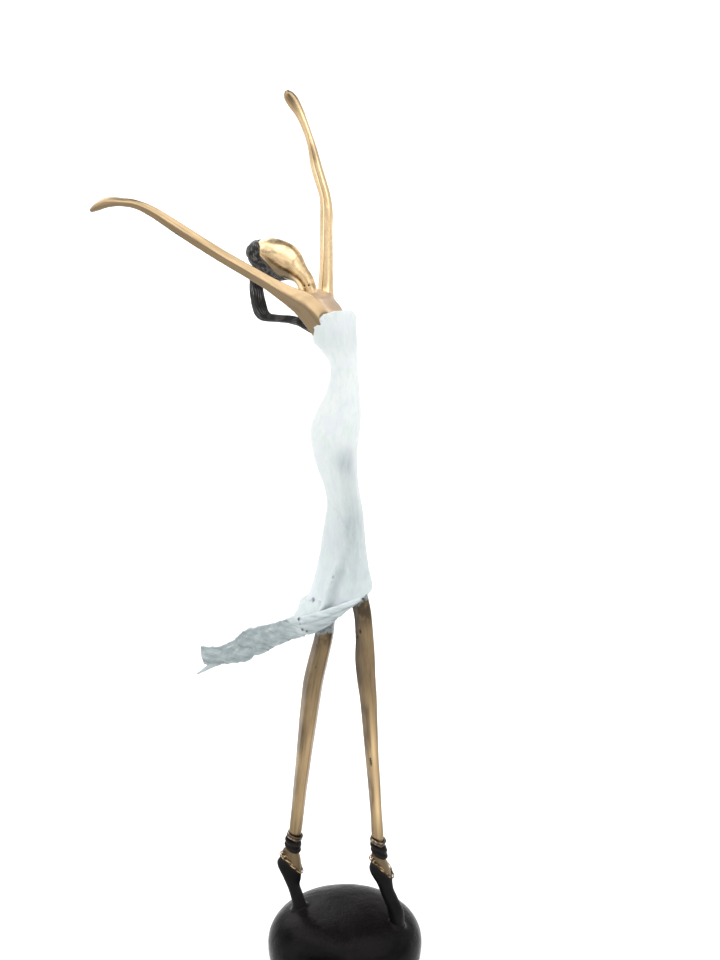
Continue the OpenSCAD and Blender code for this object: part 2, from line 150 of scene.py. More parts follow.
PAINT_WHITE = (0.53, 0.555, 0.55)
PAINT_BLUE = (0.385, 0.43, 0.445)
PAINT_GREEN = (0.40, 0.485, 0.455)
PAINT_LAVENDER = (0.475, 0.495, 0.54)
PAINT_GREY = (0.17, 0.205, 0.21)
# Dark colour of pits and specks in paint, also used for a painted shadow
PAINT_DIRT_AND_SHADE = (0.03, 0.032, 0.03)
# Colour of dark pits and of painted shade on bronze, and how much a painted highlight brightens its gold
BRONZE_HOLLOW_AND_SHADE = (0.035, 0.024, 0.014)
GLINT_GAIN = 2.4
RUBBED_GAIN = 1.5
SHADED_GAIN = 0.55


def scaled(colour, gain):
    """The colour times gain, no brighter than white."""
    return tuple(min(1, gain * c) for c in colour)


def flaked_paint(tree, along, patches, heights):
    """How much smeared paint covers a leg, starting between two heights, and the paint's colour."""
    height = add_node(tree, "SeparateXYZ", {0: place_in(tree)}).outputs[2]
    low, high = (z * MM for z in heights)
    smear = speckle(tree, along, 4, detail=5, rough=0.65)
    start = ramp(tree, height, low, high, -0.30, 0.60)
    reach = maths(tree, "ADD", start, maths(tree, "MULTIPLY", patches, 0.5))
    cover = ramp(tree, maths(tree, "ADD", smear, reach), 0.85, 1.0, 0, 0.9)
    return cover, blend_colour(tree, ramp(tree, smear, 0.50, 0.60, 0, 0.7), PAINT_GREY, PAINT_DIRT_AND_SHADE)


def bronze(name, gold, brown, shine, dull, marks, paint_heights=None):
    """Cast bronze with lengthwise file marks, brown patches, painted highlights, painted shade and dark
    hollows.

    shine and dull are its lowest and highest roughness, and marks is how strong the file marks are.
    Between paint_heights, in millimetres, paint smeared from the dress begins to cover it.
    """
    made, tree, shader = new_material(name, Metallic=1.0, Coat_Weight=0.15, Coat_Roughness=0.25)
    along = kept(tree, "straight", "Vector")
    patches = speckle(tree, along, 9, (1, 1, 3), 4)
    fine = speckle(tree, along, 0.45, (1, 1, 22), 3, 0.6)
    streaks = speckle(tree, along, 1.3, (1, 1, 20), 3)
    rough = maths(tree, "MULTIPLY_ADD", streaks, dull - shine, shine)
    colour = coats(tree, gold,
                   (ramp(tree, patches, 0.42, 0.75, 0, 0.6), brown),
                   (ramp(tree, streaks, 0.46, 0.68, 0, marks), brown),
                   # Painted highlight: a kept field brightens the gold
                   (kept(tree, "worn"), scaled(gold, GLINT_GAIN)),
                   (ramp(tree, fine, 0.55, 0.72, 0, 0.6 * marks), scaled(gold, RUBBED_GAIN)),
                   # Painted shade: a kept field browns the gold
                   (kept(tree, "shade"), scaled(brown, SHADED_GAIN)),
                   # Dark pits, and painted shade, from a kept field
                   (kept(tree, "dirt"), BRONZE_HOLLOW_AND_SHADE))
    if paint_heights:
        cover, flakes = flaked_paint(tree, along, patches, paint_heights)
        colour = blend_colour(tree, cover, colour, flakes)
        rough = maths(tree, "MAXIMUM", rough, maths(tree, "MULTIPLY", cover, 0.6))
        link(tree, shader, Metallic=maths(tree, "SUBTRACT", 1.0, cover))
    relief = bumps(tree, speckle(tree, along, 5, (1, 1, 3), 2), 0.15 * marks + 0.05)
    relief = bumps(tree, streaks, 0.08 * marks, relief)
    relief = bumps(tree, fine, 0.03 * marks, relief)
    link(tree, shader, Base_Color=colour, Roughness=rough, Normal=relief)
    return made


def paint():
    """Matt pale paint, dry-brushed in long strokes over rough casting."""
    made, tree, shader = new_material("dress_paint", Roughness=0.5, Specular_IOR_Level=0.4)
    along = kept(tree, "straight", "Vector")
    solid = place_in(tree)
    strokes = speckle(tree, along, 1.8, (1, 1, 6), 4, 0.65)
    clouds = speckle(tree, solid, 7, (1, 1, 1.8), 5, 0.65)
    patches = speckle(tree, along, 2.6, (1, 1, 3), 5, 0.7)
    wash = speckle(tree, solid, 11, (1, 1, 1.2), 2)
    grit = speckle(tree, solid, 0.9, (1, 1, 1.4), 4, 0.7)
    blue = maths(tree, "ADD", kept(tree, "tint"), maths(tree, "MULTIPLY_ADD", clouds, 0.9, -0.45))
    # Painted shade: a kept field greys the paint
    grey = maths(tree, "MULTIPLY", kept(tree, "shade"), ramp(tree, patches, 0.34, 0.62, 0.68, 1.0))
    colour = coats(tree, PAINT_WHITE,
                   (ramp(tree, blue, 0.05, 0.95), PAINT_BLUE),
                   (ramp(tree, patches, 0.38, 0.54, 0.55, 0), PAINT_GREEN),
                   (ramp(tree, wash, 0.46, 0.66, 0, 0.5), PAINT_LAVENDER),
                   (grey, PAINT_GREY),
                   (ramp(tree, strokes, 0.58, 0.74, 0, 0.35), PAINT_WHITE),
                   (ramp(tree, grit, 0.64, 0.76, 0, 0.35), PAINT_GREY),
                   # Pits and streaks go dark, and so does a painted shadow under the neck's lip
                   (kept(tree, "dirt"), PAINT_DIRT_AND_SHADE))
    rough = ramp(tree, strokes, 0.3, 0.7, 0.62, 0.40)
    relief = bumps(tree, clouds, 0.5)
    relief = bumps(tree, patches, 0.22, relief)
    relief = bumps(tree, strokes, 0.12, relief)
    relief = bumps(tree, grit, 0.10, relief)
    link(tree, shader, Base_Color=colour, Roughness=rough, Normal=relief)
    return made


def patina(name, black, brown, rubbed_and_sheen, shine, dull, size, gleam):
    """Dark patina on cast metal. It goes brown in patches, and paler where hands rub it and where a painted
    reflection lies on it.

    shine and dull are its lowest and highest roughness, and size is that of its grain in millimetres.
    """
    made, tree, shader = new_material(name, Specular_IOR_Level=gleam)
    solid = place_in(tree)
    clouds = speckle(tree, solid, 16, detail=5, rough=0.6)
    fine = speckle(tree, solid, size, detail=4, rough=0.65)
    # On the base this paler layer is partly a painted reflection
    bare = maths(tree, "MULTIPLY", kept(tree, "worn"), ramp(tree, fine, 0.35, 0.65, 0.4, 1))
    colour = coats(tree, black,
                   (ramp(tree, clouds, 0.40, 0.68), brown),
                   (bare, rubbed_and_sheen),
                   (ramp(tree, fine, 0.62, 0.74, 0, 0.4), brown))
    rough = ramp(tree, clouds, 0.35, 0.7, shine, dull)
    relief = bumps(tree, clouds, 0.35)
    relief = bumps(tree, fine, 0.05 * size + 0.02, relief)
    link(tree, shader, Base_Color=colour, Roughness=rough, Normal=relief)
    return made


def steel():
    """Turned steel with fine marks."""
    made, tree, shader = new_material("steel", Metallic=1.0)
    solid = place_in(tree)
    marks = speckle(tree, solid, 0.3, (1, 1, 8), 3)
    colour = blend_colour(tree, ramp(tree, marks, 0.4, 0.7), (0.62, 0.61, 0.59), (0.36, 0.35, 0.34))
    rough = ramp(tree, marks, 0.3, 0.7, 0.22, 0.42)
    link(tree, shader, Base_Color=colour, Roughness=rough, Normal=bumps(tree, marks, 0.02))
    return made


def felt():
    """Dark green felt with loose fibres."""
    made, tree, shader = new_material("felt", Sheen_Weight=0.4, Sheen_Roughness=0.6)
    solid = place_in(tree)
    fibres = speckle(tree, solid, 0.5, detail=6, rough=0.75)
    tufts = speckle(tree, solid, 4)
    colour = blend_colour(tree, ramp(tree, fibres, 0.3, 0.7), (0.012, 0.035, 0.022), (0.05, 0.10, 0.07))
    relief = bumps(tree, fibres, 0.25, bumps(tree, tufts, 0.2))
    link(tree, shader, Base_Color=colour, Roughness=ramp(tree, fibres, 0.2, 0.8, 0.98, 0.85), Normal=relief)
    return made


GOLD = (0.68, 0.51, 0.30)
GOLD_BROWN = (0.42, 0.265, 0.12)
ARM_GOLD = (0.34, 0.245, 0.14)
ARM_BROWN = (0.22, 0.155, 0.085)
LEG_GOLD = (0.235, 0.168, 0.09)
LEG_BROWN = (0.11, 0.076, 0.042)
CHEST_GOLD = (0.52, 0.40, 0.29)
CHEST_BROWN = (0.42, 0.31, 0.22)
WIRE_GOLD = (0.46, 0.31, 0.16)
WIRE_BROWN = (0.09, 0.06, 0.04)
RING_GOLD = (0.32, 0.25, 0.18)
RING_BROWN = (0.035, 0.027, 0.022)
# Black, brown and paler colours of each patina; the paler one shows wear, and on the base also a painted
# reflection
BLACK_COLOURS = ((0.003, 0.003, 0.0035), (0.007, 0.006, 0.0055), (0.030, 0.024, 0.019))
BASE_COLOURS = ((0.0014, 0.0014, 0.0014), (0.0040, 0.0032, 0.0032), (0.011, 0.009, 0.009))
HAIR_COLOURS = ((0.004, 0.005, 0.0055), (0.014, 0.012, 0.0105), (0.19, 0.18, 0.17))

LOOKS = {
    "bright": bronze("bronze_bright", GOLD, GOLD_BROWN, 0.19, 0.32, 0.35),
    "filed": bronze("bronze_filed", ARM_GOLD, ARM_BROWN, 0.22, 0.42, 1.0),
    "chest": bronze("bronze_chest", CHEST_GOLD, CHEST_BROWN, 0.50, 0.70, 0.4),
    "left_leg": bronze("bronze_left_leg", LEG_GOLD, LEG_BROWN, 0.28, 0.48, 0.55, (212, 240)),
    "right_leg": bronze("bronze_right_leg", LEG_GOLD, LEG_BROWN, 0.28, 0.48, 0.55, (238, 266)),
    "wire": bronze("bronze_wire", WIRE_GOLD, WIRE_BROWN, 0.22, 0.45, 1.0),
    "ring": bronze("bronze_ring", RING_GOLD, RING_BROWN, 0.25, 0.45, 1.0),
    "paint": paint(),
    "black": patina("black_patina", *BLACK_COLOURS, 0.30, 0.46, 0.8, 0.05),
    "base": patina("base_patina", *BASE_COLOURS, 0.17, 0.34, 1.2, 0.036),
    "hair": patina("hair_patina", *HAIR_COLOURS, 0.30, 0.48, 0.7, 0.15),
    "steel": steel(),
    "felt": felt(),
}


# ---------------- shape tools

def unit(v):
    return v / np.linalg.norm(v, axis=-1, keepdims=True)


def step(x, low, high):
    """Smooth step from 0 at low to 1 at high."""
    t = np.clip((x - low) / (high - low), 0, 1)
    return t * t * (3 - 2 * t)


def hump(x, centre, width):
    return np.exp(-((x - centre) / width) ** 2)


def apart(angle, other):
    """Difference of two angles in degrees, between -180 and 180."""
    return (angle - other + 180) % 360 - 180


def facing(angle, other, wide):
    """1 at the other angle, fading to almost nothing twice as many degrees away as wide."""
    return hump(apart(angle, other), 0, wide)


def smooth_path(stations, rows):
    """Rows evenly spaced along a smooth curve through the stations."""
    s = np.array(stations, float)
    last = len(s) - 1
    u = np.linspace(0, last, last * 40 + 1)
    i = np.minimum(u.astype(int), last - 1)
    t = (u - i)[:, None]
    a, b, c, d = (s[np.clip(i + j, 0, last)] for j in (-1, 0, 1, 2))
    fine = 0.5 * (2 * b + (c - a) * t + (2 * a - 5 * b + 4 * c - d) * t**2 + (3 * b - a - 3 * c + d) * t**3)
    run = np.concatenate([[0], np.cumsum(np.linalg.norm(np.diff(fine[:, :3], axis=0), axis=1))])
    even = np.linspace(0, run[-1], rows)
    return np.stack([np.interp(even, run, column) for column in fine.T], axis=1)


def turns(sides):
    """Angles round a ring, in degrees from -180."""
    return np.linspace(-180, 180, sides, endpoint=False)


def facets(directions, sharp, twist=0):
    """Share of the radius at each angle of a rounded polygon, whose flats face these directions."""
    def shape(share, angle):
        total = 0
        for d in directions:
            total = total + np.maximum(np.cos(np.radians(angle - d - twist * share)), 0) ** sharp
        radius = total ** (-1 / sharp)
        return radius / radius.mean(axis=1, keepdims=True)
    return shape


def limb(stations, rows, sides, shape=None):
    """Rings square to a path. A station is x, y, z, half width to the front and half width sideways."""
    path = smooth_path(stations, rows)
    angle = turns(sides)[None, :]
    share = np.linspace(0, 1, rows)[:, None]
    centre = path[:, :3]
    along = unit(np.gradient(centre, axis=0))
    side = unit(np.array([0, 1, 0]) - along * along[:, 1:2])
    front = np.cross(side, along)
    scale = shape(share, angle) if shape else np.ones((rows, sides))
    x = (path[:, 3:4] * np.cos(np.radians(angle)) * scale)[..., None]
    y = (path[:, 4:5] * np.sin(np.radians(angle)) * scale)[..., None]
    return centre[:, None] + front[:, None] * x + side[:, None] * y


def level(stations, rows, sides, shape=None):
    """Level rings. A station is x, y, z, half width in x, half width in y and rise towards the front."""
    path = smooth_path(stations, rows)
    angle = turns(sides)[None, :]
    share = np.linspace(0, 1, rows)[:, None]
    scale = shape(share, angle) if shape else np.ones((rows, sides))
    x = path[:, 3:4] * np.cos(np.radians(angle)) * scale
    y = path[:, 4:5] * np.sin(np.radians(angle)) * scale
    return np.stack([path[:, 0:1] + x, path[:, 1:2] + y, path[:, 2:3] + path[:, 5:6] * x], axis=2)


def outward(grid):
    """Direction out of the surface at each point of the rings."""
    round_ring = np.roll(grid, -1, axis=1) - np.roll(grid, 1, axis=1)
    return unit(np.cross(round_ring, np.gradient(grid, axis=0)) + 1e-9)


def push(grid, amount):
    return grid + outward(grid) * np.asarray(amount)[..., None]


def grain(grid, size, seed=0, layers=3, stretch=(1, 1, 1)):
    """Repeatable uneven field over a surface, about -1 to 1, with humps about size millimetres wide."""
    places = grid.reshape(-1, 3) / (size * np.array(stretch)) + 13.7 * seed
    values = [noise.fractal(Vector(p), 1.0, 2.0, layers) for p in places.tolist()]
    return np.array(values).reshape(grid.shape[:-1])


def dents(grid, spots):
    """How deep each point lies in small pits. A spot is x, y, z, radius and depth."""
    depth = np.zeros(grid.shape[:-1])
    for x, y, z, radius, deep in spots:
        near = np.linalg.norm(grid - np.array([x, y, z]), axis=2)
        depth = np.maximum(depth, deep * np.exp(-((near / radius) ** 4)))
    return depth


def rounded(grid, start=0.0, end=0.0, steps=8):
    """Adds a dome of that height to either end of the rings."""
    parts = [grid]
    for height, edge, beyond, first in ((start, grid[0], grid[1], True), (end, grid[-1], grid[-2], False)):
        if not height:
            continue
        middle = edge.mean(axis=0)
        away = unit(middle - beyond.mean(axis=0))
        turn = np.radians(np.linspace(0, 88, steps + 1)[1:])[:, None, None]
        dome = middle + (edge - middle) * np.cos(turn) + away * height * np.sin(turn)
        parts = [dome[::-1], *parts] if first else [*parts, dome]
    return np.concatenate(parts)


def loop(points, radius, sides=14):
    """Rings of a round wire along a closed row of points."""
    along = unit(np.roll(points, -1, axis=0) - np.roll(points, 1, axis=0))
    away = unit(points - points.mean(axis=0))
    out = unit(away - along * (away * along).sum(axis=1, keepdims=True))
    over = np.cross(along, out)
    turn = np.radians(turns(sides))[None, :, None]
    return points[:, None] + radius * (out[:, None] * np.cos(turn) - over[:, None] * np.sin(turn))


def unroll(grid, middle):
    """Where each point would lie if the limb were a straight round bar."""
    run = np.concatenate([[0], np.cumsum(np.linalg.norm(np.diff(middle, axis=0), axis=1))])
    girth = np.linalg.norm(grid - middle[:, None], axis=2).mean()
    turn = np.radians(turns(grid.shape[1]))
    flat = np.empty(grid.shape)
    flat[..., 0] = girth * np.cos(turn)
    flat[..., 1] = girth * np.sin(turn)
    flat[..., 2] = run[:, None]
    return flat


def skin(number, closed):
    """Four-sided faces between neighbouring rings of numbered points."""
    lower = number if closed else number[:-1]
    upper = np.roll(number, -1, axis=0) if closed else number[1:]
    quads = (lower, np.roll(lower, -1, axis=1), np.roll(upper, -1, axis=1), upper)
    return np.stack(quads, axis=2).reshape(-1, 4).tolist()


def caps(first, last, tip):
    """Fans of faces that close both ends, from the points numbered tip and tip + 1."""
    under = [[tip, b, a] for a, b in zip(first.tolist(), np.roll(first, -1).tolist())]
    return under + [[tip + 1, a, b] for a, b in zip(last.tolist(), np.roll(last, -1).tolist())]


def make(name, parts, look, slot, node, closed=False, **fields):
    """A piece from one or more sets of rings, in place of a CAD node.

    Each field is kept in the mesh for its material, and so is the unrolled place, as "straight".
    """
    points, faces, straight = [], [], []
    for grid in parts if isinstance(parts, list) else [parts]:
        rows, sides = grid.shape[:2]
        start = sum(len(p) for p in points)
        number = start + np.arange(rows * sides).reshape(rows, sides)
        middle = grid.mean(axis=1)
        flat = unroll(grid, middle)
        points.append(grid.reshape(-1, 3))
        straight.append(flat.reshape(-1, 3))
        faces += skin(number, closed)
        if not closed:
            points.append(middle[[0, -1]])
            straight.append(flat[[0, -1], 0])
            faces += caps(number[0], number[-1], start + rows * sides)
    mesh = bpy.data.meshes.new(name)
    mesh.from_pydata((np.concatenate(points) * MM).tolist(), [], faces)
    mesh.polygons.foreach_set("use_smooth", [True] * len(mesh.polygons))
    kept_place = mesh.attributes.new("straight", "FLOAT_VECTOR", "POINT")
    kept_place.data.foreach_set("vector", (np.concatenate(straight) * MM).ravel())
    for key in ("dirt", "worn", "tint", "shade"):
        values = np.zeros(len(mesh.vertices))
        if key in fields:
            given = fields[key].ravel()
            values[:len(given)] = given
        mesh.attributes.new(key, "FLOAT", "POINT").data.foreach_set("value", values)
    mesh.materials.append(LOOKS[look])
    mesh.update()
    piece = bpy.data.objects.new(name, mesh)
    bpy.context.scene.collection.objects.link(piece)
    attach(piece, ROOT)
    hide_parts(node)


# ---------------- base

BASE_R = 48
BASE_EQUATOR = 20
BASE_CROWN = 26.7
BASE_ROUND = 2.4
FELT_T = 1.5
CAVITY_R = 32
CAVITY_ROOF = 30
TOES = ((-28, -5), (34.3, -3.5))
TOE_R = 4.1
WELD_T = 1.7


def cast_base():
    """Pebble with a flat foot, hollow underneath, with small welds round the toes."""
    sides = 288
    foot = math.acos(-((BASE_EQUATOR - FELT_T) / BASE_CROWN) ** (BASE_ROUND / 2))
    a = np.linspace(foot, 0.004, 200)
    radius = BASE_R * np.sin(a) ** (2 / BASE_ROUND)
    height = BASE_EQUATOR + BASE_CROWN * np.sign(np.cos(a)) * np.abs(np.cos(a)) ** (2 / BASE_ROUND)
    inner_r = [0.1, 12, CAVITY_R - 0.8, CAVITY_R, CAVITY_R, CAVITY_R + 0.4]
    inner_z = [CAVITY_ROOF, CAVITY_ROOF, CAVITY_ROOF, CAVITY_ROOF - 0.8, FELT_T + 0.4, FELT_T]
    radius = np.concatenate([inner_r, radius])[:, None]
    height = np.concatenate([inner_z, height])[:, None]
    turn = np.radians(turns(sides))[None, :]
    grid = np.stack([radius * np.cos(turn), radius * np.sin(turn), height + 0 * turn], axis=2)
    inside = len(inner_r) + 4
    free = step(np.arange(len(grid)), inside, inside + 20)[:, None]
    lumps = 0.35 * grain(grid, 26, 1, 2) + 0.07 * grain(grid, 5, 2, 3) + 0.02 * grain(grid, 1.4, 3, 2)
    weld = np.zeros(lumps.shape)
    for x, y in TOES:
        away = np.hypot(grid[..., 0] - x, grid[..., 1] - y)
        weld = np.maximum(weld, WELD_T * np.exp(-np.maximum(away - TOE_R, 0)))
    weld = weld * (1 + 0.35 * grain(grid, 2.2, 4, 2)) * (grid[..., 2] > BASE_EQUATOR)
    # Painted reflection: the crown is paler, and a painted highlight band runs round the front; the noise
    # part is real wear
    crown = step(grid[..., 2], BASE_EQUATOR + 12, BASE_EQUATOR + BASE_CROWN)
    front = facing(turns(sides), -105, 40)[None, :] * hump(grid[..., 2], 40, 1.2)
    worn = 0.25 * step(grain(grid, 20, 5, 3), -0.3, 0.9) + 0.55 * crown + 0.3 * front
    worn = np.clip(worn, 0, 1) * free
    make("cast_base", push(grid, free * (lumps + weld)), "base", "black_patina", "base", worn=worn)


cast_base()

# ---------------- feet

LEFT_SHOE = [[-28, -5, 41.5, 4.4, 4.4, 0], [-28, -5, 44.5, 4.6, 4.4, 0],
             [-29, -4.8, 48.5, 4.2, 4, -0.1], [-31, -4.3, 54.5, 4.4, 4, -0.3],
             [-33.6, -3.5, 60.5, 5.3, 4.3, -0.5], [-35.2, -3, 66.6, 7.5, 4.8, -0.7],
             [-33, -3, 72.4, 5.9, 4.7, -0.92]]
RIGHT_SHOE = [[34.3, -3.5, 38.5, 4.4, 4.4, 0], [34.3, -3.5, 43, 4.6, 4.5, 0],
              [33, -3.6, 51, 5.3, 4.3, -0.2], [29.6, -3.8, 59, 5.3, 4.1, -0.3],
              [27, -4, 65.5, 5.4, 4.2, -0.4], [24.2, -4, 72.2, 7.3, 4.6, -0.6],
              [25, -4, 78.4, 6.3, 4.7, -0.87]]
LEFT_CUFF = [[-33, -2.4, 81.8, 4.4, 4.4, -0.45], [-32.8, -2.3, 83.2, 5.2, 5, -0.45],
             [-32.6, -2.2, 85, 4.7, 4.6, -0.45], [-32.4, -2.2, 86.8, 5.2, 5, -0.4],
             [-32.2, -2.1, 88.6, 4.6, 4.6, -0.4]]
RIGHT_CUFF = [[23.2, -4, 86.8, 4.5, 4.5, -0.45], [23, -4, 88.3, 5.3, 5, -0.45],
              [22.8, -4, 90.2, 4.7, 4.6, -0.45], [22.6, -4, 92.1, 5.3, 5, -0.4],
              [22.4, -4, 93.9, 4.7, 4.6, -0.4]]
LEFT_RING = (-31.4, -2, 91.3)
RIGHT_RING = (22.2, -4.2, 96.6)
RING_R = 4.35
RING_TILT = 22
STRAND_R = 0.75
SIDE_LIFT = 2.0
# How far each ring inside the shoe's rim is pulled in, as a share of its radius, and how far it drops
SHOE_INSIDE = ((0.08, 0.2), (0.16, 1.2), (0.6, 2))
EDGE_STRAND = 0.36
EDGE_SPREAD = 0.68
EDGE_TWISTS = 3
# Place of each small loop from the heel, and its size
HEEL_LOOPS = ((0.4, -2.6, 1.5, 1.9), (1.6, -3.4, 0.6, 1.6), (0.9, -1.0, 1.3, 1.6), (2.9, -4.0, -0.4, 1.3))


def shoe(side, stations):
    """Pointe shoe with raised sides at the opening."""
    rows, sides = 150, 96
    grid = level(stations, rows, sides)
    angle = turns(sides)[None, :]
    share = np.linspace(0, 1, rows)[:, None]
    grid[..., 2] += SIDE_LIFT * np.sin(np.radians(angle)) ** 2 * step(share, 0.78, 1)
    rim = grid[-1].copy()
    lumps = 0.10 * grain(grid, 5, 6, 2) + 0.03 * grain(grid, 1.2, 7, 2)
    grid = push(grid, lumps * (1 - step(share, 0.9, 1)))
    middle = rim.mean(axis=0)
    sunk = [rim + (middle - rim) * pull + [0, 0, -drop] for pull, drop in SHOE_INSIDE]
    grid = np.concatenate([grid, np.array(sunk)])
    worn = 0.7 * hump(np.linspace(0, 1, len(grid)), 0.97, 0.04)[:, None] + 0 * angle
    make(side + "_pointe_shoe", grid, "black", "black_patina", side + "_shoe", worn=worn)
    return rim


def shoe_edge(side, rim):
    """Two twisted strands of wire round the opening, with a bunch of small loops at the heel."""
    steps = 520
    rank = np.linspace(0, len(rim), steps, endpoint=False)
    closed = np.concatenate([rim, rim[:1]])
    path = np.stack([np.interp(rank, np.arange(len(closed)), closed[:, c]) for c in range(3)], axis=1)
    middle = path.mean(axis=0)
    out = unit((path - middle) * [1, 1, 0])
    twist = np.linspace(0, 2 * math.pi * EDGE_TWISTS, steps, endpoint=False)[:, None]
    parts = []
    for half in (0, math.pi):
        offset = out * np.cos(twist + half) + np.array([0, 0, 1]) * np.sin(twist + half)
        parts.append(loop(path + out * 0.25 + EDGE_SPREAD * offset, EDGE_STRAND, 12))
    heel = path[np.argmin(path[:, 0])]
    turn = np.radians(turns(90))
    for x, y, z, size in HEEL_LOOPS:
        ring = np.stack([heel[0] + x + 0.8 * size * np.cos(turn), heel[1] + y + 0.4 * np.cos(turn),
                         heel[2] + z + size * np.sin(turn)], axis=1)
        parts.append(loop(ring, EDGE_STRAND, 12))
    parts = [push(p, 0.05 * grain(p, 1.5, 8, 2)) for p in parts]
    dirt = np.concatenate([(0.9 * step(grain(p, 2.0, 9, 2), -0.35, 0.2)).ravel() for p in parts])
    make(side + "_edge_wire", parts, "wire", "gold_wire", side + "_shoe_edge", closed=True, dirt=dirt)


def cuff(side, stations):
    """Soft-looking black band with two swellings, cast round the ankle."""
    sides = 96
    grid = level(stations, 44, sides)
    grid = push(grid, 0.16 * grain(grid, 3.5, 10, 2, (1, 1, 0.5)))
    grid = rounded(grid, 0.5, 0.5, 6)
    share = np.linspace(0, 1, len(grid))[:, None] + 0 * turns(sides)[None, :]
    worn = 0.45 * (hump(share, 0.28, 0.08) + hump(share, 0.72, 0.08))
    make(side + "_cuff", grid, "black", "black_patina", side + "_ankle_cuff", worn=worn)


def ankle_ring(side, centre):
    """Two wire rings one on the other, leaning forwards."""
    lean = math.radians(RING_TILT)
    turn = np.radians(turns(150))
    parts = []
    for lift in (-1.04, 1.04):
        x = RING_R * np.cos(turn)
        z = lift * STRAND_R
        ring = np.stack([x * math.cos(lean) + z * math.sin(lean), RING_R * np.sin(turn),
                         -x * math.sin(lean) + z * math.cos(lean)], axis=1)
        wire = loop(ring + np.array(centre), STRAND_R, 20)
        parts.append(push(wire, 0.10 * grain(wire, 2.4, 11, 2)))
    dirt = np.concatenate([(0.9 * step(grain(p, 2.2, 12, 2), -0.75, 0.1)).ravel() for p in parts])
    make(side + "_ring", parts, "ring", "gold_wire", side + "_ankle_ring", closed=True, dirt=dirt)


for side, shoe_stations, cuff_stations, ring_centre in (
        ("left", LEFT_SHOE, LEFT_CUFF, LEFT_RING), ("right", RIGHT_SHOE, RIGHT_CUFF, RIGHT_RING)):
    shoe_edge(side, shoe(side, shoe_stations))
    cuff(side, cuff_stations)
    ankle_ring(side, ring_centre)

# ---------------- legs

LEFT_LEG = [[-33, -3, 72.4, 5.7, 4.4, -0.92], [-33.3, -2.6, 77.8, 5.6, 4.2, -0.6],
            [-32.6, -2.3, 82.5, 3.6, 3.5, -0.4], [-31.9, -2.1, 88, 3.4, 3.4, -0.4],
            [-31.3, -2, 92.5, 3.4, 3.4, -0.3], [-30.9, -1.9, 95.5, 4, 4, -0.1],
            [-28.9, -0.7, 115, 4.1, 4.1, 0], [-26, 0.7, 142, 4.5, 4.5, 0],
            [-23.2, 2, 168, 5.3, 5.2, 0], [-21.6, 2.7, 181, 5.6, 5.5, 0],
            [-19.8, 3.3, 194, 5.9, 5.7, 0], [-17.1, 4, 207, 5.8, 5.7, 0],
            [-14, 4.7, 220.5, 5.5, 5.4, 0], [-12.4, 5.3, 232, 5.3, 5.3, 0.1],
            [-11, 5.5, 245, 5.3, 5.3, 0.3], [-9.5, 5.5, 256, 5, 5, 0.47]]
RIGHT_LEG = [[25, -4, 78.4, 6.1, 4.4, -0.87], [23.3, -4, 83.8, 5.2, 4.2, -0.6],
             [22.9, -4.1, 87.5, 3.6, 3.5, -0.4], [22.4, -4.2, 93, 3.4, 3.4, -0.4],
             [22.1, -4.3, 98, 3.4, 3.4, -0.3], [21.9, -4.4, 101, 3.7, 3.7, -0.1],
             [21.2, -4.5, 115, 3.6, 3.6, 0], [20, -4.6, 137, 3.7, 3.7, 0],
             [18.9, -4.7, 152, 3.9, 3.9, 0], [17.5, -4.8, 176, 4.5, 4.5, 0],
             [16.8, -4.8, 189, 5, 5, 0], [15.5, -4.8, 202, 5.4, 5.4, 0],
             [14.8, -4.9, 214.5, 5.7, 5.5, 0], [14.4, -4.9, 228, 5.2, 5.3, 0],
             [13.2, -5, 243.5, 4.9, 5.2, 0.2], [10.5, -4.8, 255, 4.8, 5, 0.4],
             [7.5, -4.5, 264, 4.5, 4.8, 0.47]]
LEFT_FLATS = (-150, -72, -8, 60, 135)
RIGHT_FLATS = (-140, -62, 5, 70, 140)
LEFT_HEM = 226
RIGHT_HEM = 246
# Each pit, here and below: x, y, z, radius and depth
LEFT_LEG_PITS = ((-17.5, -1.5, 205, 0.8, 0.3), (-16.5, -1, 219, 0.7, 0.4))
RIGHT_LEG_PITS = ((12.3, -9.8, 234.4, 1.1, 1.0), (10.2, -7.4, 229.8, 1.0, 0.8),
                  (18.5, -9.2, 152.6, 0.75, 0.8), (18.7, -9, 151.2, 0.8, 0.9),
                  (18.9, -8.8, 149.8, 0.8, 0.8), (19.1, -8.7, 148.6, 0.6, 0.6))


